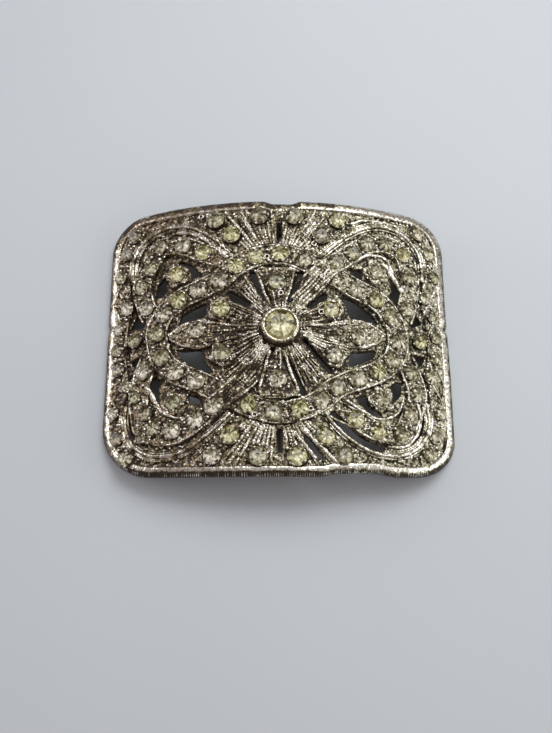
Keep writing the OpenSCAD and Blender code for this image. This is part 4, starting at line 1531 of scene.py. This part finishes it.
# %% Which stone has which glass
CLEAR, STRAW, OLIVE, SMOKY = 0.0, 1.0, 2.0, 3.0
STRAW_AT = [
    (0.6, 17.75), (-4.6, 17.1), (-9.0, 15.1), (-21.2, 8.1), (21.2, -8.1), (21.4, 8.25),
    (-5.85, -16.2), (-16.2, 18.8), (28, 20), (11.4, 4.85), (13.35, 26.5), (-21.9, 14.2),
    (-11.9, 5.1), (0.65, 0.15), (-9.7, -22.45), (4.0, -26.95), (10.0, -22.7), (16.2, -18.8),
    (20.7, -21.0), (4.6, -17.1), (-10.0, 22.7), (31.0, -0.15),
]
OLIVE_AT = [
    (-13.6, 26.5), (-26.0, 0.9), (-24.7, -4.6), (5.85, 16.2), (-0.15, 10.8), (-11.4, -4.85),
    (28.5, -7.35), (25.9, -21.3), (34.95, 1.45), (34.45, 6.1), (35.15, 15.8), (12.5, -12.1),
    (-3.85, -26.9), (-25.7, -20.0), (16.5, 18.7), (-31.7, -25.95), (-31.0, 0.15), (-29.9, 12.3),
    (-28.0, 16.5), (-35.0, 15.75), (-30.3, -12.8), (13.6, -26.5), (-0.6, -17.75), (20.0, 21.2),
    (24.0, 21.9), (29.3, 14.8), (12.9, 16.1), (-21.65, -14.9), (3.85, 26.9),
]
SMOKY_AT = [
    (-4.0, 26.95), (9.7, 22.45), (-34.45, -6.1), (-34.0, -21.35), (-25.9, 21.3),
    (-28.6, -21.9), (-27.9, -16.6), (-33.65, 21.2), (-32.1, 25.1), (-34.95, -1.45),
]
SAME_PLACE = 0.6


def tint_of(stones):
    """The number of each stone's glass: clear, or what the list with its place says."""
    xy = np.array([s[:2] for s in stones])
    tint = np.full(len(xy), CLEAR)
    for places, value in ((STRAW_AT, STRAW), (OLIVE_AT, OLIVE), (SMOKY_AT, SMOKY)):
        away = np.linalg.norm(xy[:, None] - np.array(places)[None], axis=2).min(axis=1)
        tint[away < SAME_PLACE] = value
    return tint


print("straw, olive and smoky stones:", len(STRAW_AT), len(OLIVE_AT), len(SMOKY_AT))

# %% The shape of a brilliant
STONE_SIDES = 16
STONE_ANGLES = 2 * np.pi * np.arange(STONE_SIDES) / STONE_SIDES
EVERY_SECOND = np.arange(STONE_SIDES) % 2 == 0
STONE_LEVEL = 0.05
STONE_SPREAD = 1.19
STONE_TILT = 0.05
TABLE_RISE, POINT_DEPTH = 0.17, 0.38
STONE_RINGS = [
    (0.11, TABLE_RISE, True), (0.29, TABLE_RISE, True), (0.41, 0.095, False), (0.5, 0.0, False),
]


def brilliant_points(rows, rise, turn, tilt):
    """Rings of radius and height, in parts of the diameter, then the table's middle and the point
    below. Every second point of the table's two rings lies on the chord of an octagon."""
    octagon = np.where(EVERY_SECOND, 1.0, np.cos(np.pi / 8))
    plain = np.ones(STONE_SIDES)
    r = np.concatenate([part * (octagon if cut else plain) for part, _, cut in STONE_RINGS])
    h = np.repeat([height for _, height, _ in STONE_RINGS], STONE_SIDES)
    angle = np.tile(STONE_ANGLES, len(STONE_RINGS))[None] + turn
    d = STONE_SPREAD * rows[:, 2, None]
    level = rise + STONE_LEVEL
    ends = np.stack([level + TABLE_RISE * rows[:, 2], level - POINT_DEPTH * rows[:, 2]], axis=1)
    u = np.hstack([d * r * np.cos(angle), np.zeros_like(ends)])
    v = np.hstack([d * r * np.sin(angle), np.zeros_like(ends)])
    w = np.hstack([level + d * h[None], ends]) + tilt[:, :1] * u + tilt[:, 1:] * v
    return placed(u, v, w, rows).reshape(-1, 3)


def brilliant_faces(rows):
    """The quads between the rings, and the fans of the table and of the point, for every stone."""
    sides, rings = STONE_SIDES, len(STONE_RINGS)
    count = rings * sides + 2
    top, low = np.arange(sides), (rings - 1) * sides + np.arange(sides)
    fans = np.concatenate([
        np.stack([np.full(sides, count - 2), top, np.roll(top, -1)], axis=1),
        np.stack([np.full(sides, count - 1), np.roll(low, -1), low], axis=1),
    ])
    quads = turned_quads(sides, rings, closed=False)[:, ::-1]
    return repeated(fans, rows, count), repeated(quads, rows, count)


print("faces of one stone:", sum(len(faces) for faces in brilliant_faces([CENTRE_STONE])))

# %% The painted light in a brilliant
# Each kind of face has its painted light; the edge faces at the girdle are painted dark, as an
# outline.
FACE_TONES = {
    "eye": (0.46, 0.5, 0.4), "wedge": (0.5, 1.0, 1.0), "crown": (0.54, 0.8, 1.0),
    "edge": (0.30, 1.0, 1.2), "back": (0.2, 0.0, 0.0),
}
STAR_MOST = 0.2
PAINTED_TILT_LIGHT = -0.24
FACET_SPREAD = 0.19


def brilliant_tones(turn, rng):
    """The painted light of each face: a tone of its own, plus a share of a painted star whose
    wedges are light and dark in turn, plus a share of painted light that is darker the further the
    face looks up the plate, plus chance."""
    shape = (len(turn), STONE_SIDES)
    star = rng.uniform(0.0, STAR_MOST, (len(turn), 1)) * np.where(EVERY_SECOND, 1.0, -1.0)
    # Painted light: faces that look up the plate are painted darker, and those that look down it
    # lighter.
    painted_tilt_light = PAINTED_TILT_LIGHT * np.sin(STONE_ANGLES[None] + turn + np.pi / STONE_SIDES)
    return {
        part: tone + star_share * star + lit_share * painted_tilt_light + rng.normal(0, FACET_SPREAD, shape)
        for part, (tone, star_share, lit_share) in FACE_TONES.items()
    }


def brilliants(name, stones, rise, replaced, seed):
    """One piece of cut stones, each turned and tilted by chance. Each face stores its painted light
    and its stone's glass. The triangles, which come first, are the eye and the back, and the rest
    are quads."""
    rng = np.random.default_rng(seed)
    rows = np.array(stones, float)
    turn = rng.uniform(0, 2 * np.pi, len(rows))[:, None]
    tilt = rng.normal(0, STONE_TILT, (len(rows), 2))
    points, (triangles, quads) = brilliant_points(rows, rise, turn, tilt), brilliant_faces(rows)
    tones = brilliant_tones(turn, rng)
    on_triangles = np.stack([tones["eye"], tones["back"]], axis=1)
    on_quads = np.stack([tones["wedge"], tones["crown"], tones["edge"]], axis=1)
    spark = np.clip(np.concatenate([on_triangles.ravel(), on_quads.ravel()]), 0, 1)
    tint = tint_of(stones)
    tints = np.concatenate([np.repeat(tint, 2 * STONE_SIDES), np.repeat(tint, 3 * STONE_SIDES)])
    stored = {"spark": ("FACE", spark), "tint": ("FACE", tints)}
    mesh = new_mesh(name, points, triangles, quads, smooth=False, attributes=stored)
    piece = new_piece(name, mesh, foiled_glass)
    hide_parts(*replaced)
    return piece


print("kinds of face in a stone:", len(FACE_TONES))

# %% [markdown]
# The glass needs no see-through shader. Each kind has a dark, a middle and a light tone, a ramp
# picks between them by the painted light stored on the face, and a little noise is a painted
# reflection of the mirrored foil behind. The stones are painted a little darker towards the right,
# as painted shade. The clear glass is greyer at the left of the buckle. A glossy coat on top gives
# the cold highlights.

# %% Foiled glass
CLEAR_GLASS = ((0.042, 0.034, 0.014, 1), (0.31, 0.282, 0.158, 1), (0.95, 0.92, 0.77, 1))
GREY_GLASS = ((0.03, 0.023, 0.013, 1), (0.285, 0.25, 0.168, 1), (0.97, 0.92, 0.80, 1))
STRAW_GLASS = ((0.044, 0.038, 0.01, 1), (0.37, 0.345, 0.155, 1), (0.92, 0.90, 0.62, 1))
OLIVE_GLASS = ((0.034, 0.028, 0.011, 1), (0.20, 0.182, 0.094, 1), (0.72, 0.70, 0.51, 1))
SMOKY_GLASS = ((0.018, 0.013, 0.006, 1), (0.135, 0.112, 0.06, 1), (0.64, 0.58, 0.44, 1))
TONE_STOPS = (0.08, 0.45, 0.9)
GLASS_GLOSS = {
    "Roughness": 0.1, "IOR": 1.5, "Specular IOR Level": 0.42, "Coat Weight": 0.14,
    "Coat Roughness": 0.04,
}


def glass_material():
    """The tones of four kinds of glass, chosen by the number stored on each face: straw from 1,
    olive from 2 and smoky from 3, over the clear glass, which is grey at the left."""
    material, value, shader = new_material("foiled_glass")
    spark, tint, right = value.stored("spark"), value.stored("tint"), to_right(value)
    # Painted light: the stored facet light, noise as a painted reflection of the foil, and a
    # painted shade that darkens the stones towards the right.
    spark = spark + 1.05 * (value.noise(0.55, detail=1.0) - 0.56) - 0.11 * right + 0.02

    def ramp(tones):
        return value.node("ValToRGB", {"stops": list(zip(TONE_STOPS, tones))}, {"Fac": spark})

    color = right.mix(ramp(GREY_GLASS), ramp(CLEAR_GLASS))
    for number, tones in ((STRAW, STRAW_GLASS), (OLIVE, OLIVE_GLASS), (SMOKY, SMOKY_GLASS)):
        color = tint.between(number - 0.8, number - 0.2).mix(color, ramp(tones))
    feed(color, shader, "Base Color")
    for socket, amount in GLASS_GLOSS.items():
        shader.inputs[socket].default_value = amount
    return material


foiled_glass = glass_material()
print("finish of the stones:", foiled_glass.name)

# %% Set the stones
GROUPS = {
    "band_stones": (both(RING_STONES), 0.0, [f"ring_stone_{i}" for i in range(1, 25)]),
    "petal_stones": (both(PETAL_STONES), PETAL_RISE, [f"petal_stone_{i}" for i in range(1, 9)]),
    "leaf_stones": (both(LEAF_STONES), 0.0, [f"leaf_stone_{i}" for i in range(1, 5)]),
    "side_stones": (both(SIDE_STONES), 0.0, ["side_stone_1", "side_stone_2"]),
    "upper_left_stones": (LOOP_UNDER_STONES, 0.0, ["loop_stones_upper_left"]),
    "lower_right_stones": (turned(LOOP_UNDER_STONES), 0.0, ["loop_stones_lower_right"]),
    "upper_right_stones": (UPPER_RIGHT_STONES, 0.0, ["loop_stones_upper_right"]),
    "lower_left_stones": (LOWER_LEFT_STONES, 0.0, ["loop_stones_lower_left"]),
    "top_fan_stones": (FAN_STONES, 0.0, ["fan_stones_top"]),
    "bottom_fan_stones": (turned(FAN_STONES), 0.0, ["fan_stones_bottom"]),
    "left_column_stones": (COLUMN_STONES, 0.0, ["column_stones_left"]),
    "right_column_stones": (turned(COLUMN_STONES), 0.0, ["column_stones_right"]),
    "large_stone": ([CENTRE_STONE], CENTRE_RISE, ["centre_stone"]),
}
for seed, (name, (stones, rise, replaced)) in enumerate(GROUPS.items(), start=20):
    brilliants(name, stones, rise, replaced, seed)
print("stones set:", sum(len(stones) for stones, _, _ in GROUPS.values()))

# %% [markdown]
# ## The back
#
# Behind the plate two lugs hold the bar that the sash is pulled over. They are plain blocks with a
# round lower end and softened edges. The outline of a lug is carried through its thickness in four
# layers, and the two outer ones are drawn in a little, which does the work of a Bevel modifier. The
# bar is the construction's own, because it is round already, and only gets its finish.

# %% The two lugs
LUG_W, LUG_T, LUG_Y = 3.6, 2.0, 27.0
LUG_TOP = CROWN_Z - 1.7
LUG_SOFT = 0.25
LUG_HOLLOW = 0.4
BAR_Z = 3.8


def lug_mesh():
    """The lug's outline, a half circle under a straight block, is carried through its thickness and
    drawn in by LUG_SOFT at both faces."""
    a = np.linspace(np.pi, 2 * np.pi, 25)
    half, inner = LUG_T / 2, LUG_T / 2 - LUG_SOFT
    layers = [(-half, LUG_SOFT), (-inner, 0), (inner, 0), (half, LUG_SOFT)]
    rings = []
    for y, draw in layers:
        r = LUG_W / 2 - draw
        x = np.concatenate([[-r], r * np.cos(a), [r]])
        z = np.concatenate([[LUG_TOP], BAR_Z + r * np.sin(a), [LUG_TOP]])
        rings.append(np.stack([x, np.full_like(x, y), z], axis=1))
    sides = len(rings[0])
    points = np.vstack(rings + [[[0, -half, BAR_Z]], [[0, half, BAR_Z]]])
    quads = turned_quads(sides, len(layers), closed=False)
    ring = np.arange(sides)
    first, last = len(points) - 2, len(points) - 1
    end = (len(layers) - 1) * sides
    caps = np.concatenate([
        np.stack([np.full(sides, first), np.roll(ring, -1), ring], axis=1),
        np.stack([np.full(sides, last), end + ring, end + np.roll(ring, -1)], axis=1),
    ])
    return points, quads[:, ::-1], caps[:, ::-1]


lugs = Pile()
lug_points, lug_quads, lug_caps = lug_mesh()
lug_hollow = np.full(len(lug_points), LUG_HOLLOW)
for end in (-1, 1):
    lugs.add(lug_points + [0, end * LUG_Y, 0], lug_quads, lug_caps, lug_hollow)
lug_piece = lugs.piece("bar_lugs", rim_silver)
lug_piece.data.set_sharp_from_angle(angle=np.radians(40))

# %% The bar
CLEAN_STEEL = (0.52, 0.51, 0.48, 1)
BROWN_FILM = (0.25, 0.21, 0.17, 1)
SCRATCH_SQUEEZE = (1, 6, 1)


def bar_material():
    """Drawn steel: fine scratches round the bar, a little rust-brown film, and no cast grain."""
    material, value, shader = new_material("bar_steel")
    place = value.node("Mapping", {}, {"Vector": value.place(), "Scale": SCRATCH_SQUEEZE})
    lines = value.noise(0.8, detail=3.0, where=place)
    film = value.noise(4.0).between(0.45, 0.75)
    feed(film.mix(CLEAN_STEEL, BROWN_FILM), shader, "Base Color")
    feed(0.3 + 0.2 * lines + 0.2 * film, shader, "Roughness")
    feed(1.0 - 0.4 * film, shader, "Metallic")
    feed(value.bump(lines, strength=0.3, depth_mm=0.03), shader, "Normal")
    return material


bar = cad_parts["sash_bar"]
bar.data.materials.clear()
bar.data.materials.append(bar_material())
print("the bar keeps its shape from the construction")

# %% [markdown]
# ## Table and light
#
# The buckle lies on pale matt board. A lamp with a narrow beam stands behind it to the upper right,
# as a window would, a pale card glows at the right and a weaker one at the left, and the sky gives
# the rest. The sky is brightest towards the window and dim and reddish near the horizon, which the
# polished metal mirrors as its dark lines.

# %% The table
BOARD_TONES = ((0.552, 0.600, 0.648, 1), (0.612, 0.660, 0.708, 1))
FLOOR_HALF = 1500.0


def board_material():
    """Matt board: broad clouds and fine fibres in two close tones."""
    material, value, shader = new_material("pale_board")
    cloud, fibre = value.noise(60.0), value.noise(0.9, detail=3.0)
    feed((0.5 * cloud + 0.25 * fibre).mix(*BOARD_TONES), shader, "Base Color")
    shader.inputs["Roughness"].default_value = 0.9
    feed(value.bump(fibre, strength=0.2, depth_mm=0.05), shader, "Normal")
    return material


floor_points = FLOOR_HALF * np.array([(-1, -1, 0), (1, -1, 0), (1, 1, 0), (-1, 1, 0)])
floor_mesh = new_mesh("table", floor_points, quads=[(0, 1, 2, 3)], smooth=False)
floor_mesh.materials.append(board_material())
floor = bpy.data.objects.new("table", floor_mesh)
bpy.context.scene.collection.objects.link(floor)
print("width of the table, m:", 2 * FLOOR_HALF * MM)

# %% The camera
VIEW_TILT = np.radians(18.549)
RIGHT = np.array([1, 0, 0])
UP = np.array([0, np.cos(VIEW_TILT), np.sin(VIEW_TILT)])
BACK = np.array([0, -np.sin(VIEW_TILT), np.cos(VIEW_TILT)])
APEX = np.array([0, 0, CROWN_Z])
FROM_APEX = (-0.224, -7.629, 199.5)
FOCAL_PX, PHOTO_H, SENSOR = 950, 733, 36

camera_data = bpy.data.cameras.new("camera")
camera = bpy.data.objects.new("camera", camera_data)
bpy.context.scene.collection.objects.link(camera)
camera_data.sensor_fit = "AUTO"
camera_data.sensor_width = SENSOR
camera_data.lens = SENSOR * FOCAL_PX / PHOTO_H
camera_data.clip_start, camera_data.clip_end = 0.005, 10
where = (APEX + FROM_APEX[0] * RIGHT + FROM_APEX[1] * UP + FROM_APEX[2] * BACK) * MM
turn = Matrix((RIGHT, UP, BACK)).transposed().to_4x4()
camera.matrix_world = Matrix.Translation(Vector(where)) @ turn
bpy.context.scene.camera = camera
print("camera height above the table, mm:", round(float(where[2]) / MM, 1))

# %% The lamps
def lamp(name, place, size, watts, color, aim=(0, 0, 0), spread=180):
    """A square area lamp at a place in mm, facing the aim. A spread below 180
    degrees narrows its beam."""
    data = bpy.data.lights.new(name, "AREA")
    data.size, data.energy, data.color = size * MM, watts, color
    data.spread = np.radians(spread)
    thing = bpy.data.objects.new(name, data)
    bpy.context.scene.collection.objects.link(thing)
    spot = Vector(np.array(place) * MM)
    facing = Vector(np.array(aim) * MM) - spot
    turn = facing.to_track_quat("-Z", "Y").to_matrix().to_4x4()
    thing.matrix_world = Matrix.Translation(spot) @ turn
    print(name, "stands this far off, mm:", round(spot.length / MM))


lamp("window", (130, 230, 380), size=300, watts=0.29, color=(1.0, 0.99, 0.965),
     aim=(56, 94, 0), spread=80)
lamp("right_card", (450, -60, 150), size=360, watts=0.86, color=(0.99, 0.985, 0.95))
lamp("left_card", (-460, 130, 140), size=240, watts=0.6, color=(1.0, 0.98, 1.0))

# %% The sky
LOW_SKY = (0.212, 0.142, 0.137, 1)
BRIGHT_SKY = (0.675, 0.69, 0.68, 1)
TO_WINDOW = (0.30, 0.45, 0.84)
world = bpy.data.worlds.new("room")
world.use_nodes = True
room = Value(world.node_tree)
way = room.node("TexCoord", {}, {}, out=0)
height = room.node("SeparateXYZ", {}, {0: way}, out=2)
toward = room.node("VectorMath", {"operation": "DOT_PRODUCT"}, {0: way, 1: TO_WINDOW}, out=1)
glow = height.between(0.12, 0.7) * (0.25 + 0.75 * toward.between(0.45, 1.0))
background = world.node_tree.nodes["Background"]
feed(glow.mix(LOW_SKY, BRIGHT_SKY), background, "Color")
background.inputs["Strength"].default_value = 1.0
bpy.context.scene.world = world
bpy.context.scene.view_settings.view_transform = "Standard"
print("the sky is", world.name)

# %% [markdown]
# ## Finish
#
# The size of the construction's box is printed.

# %% Print the construction's size
print("size of the construction, mm:", np.round(np.ptp(cad_box, axis=0) / MM, 2))
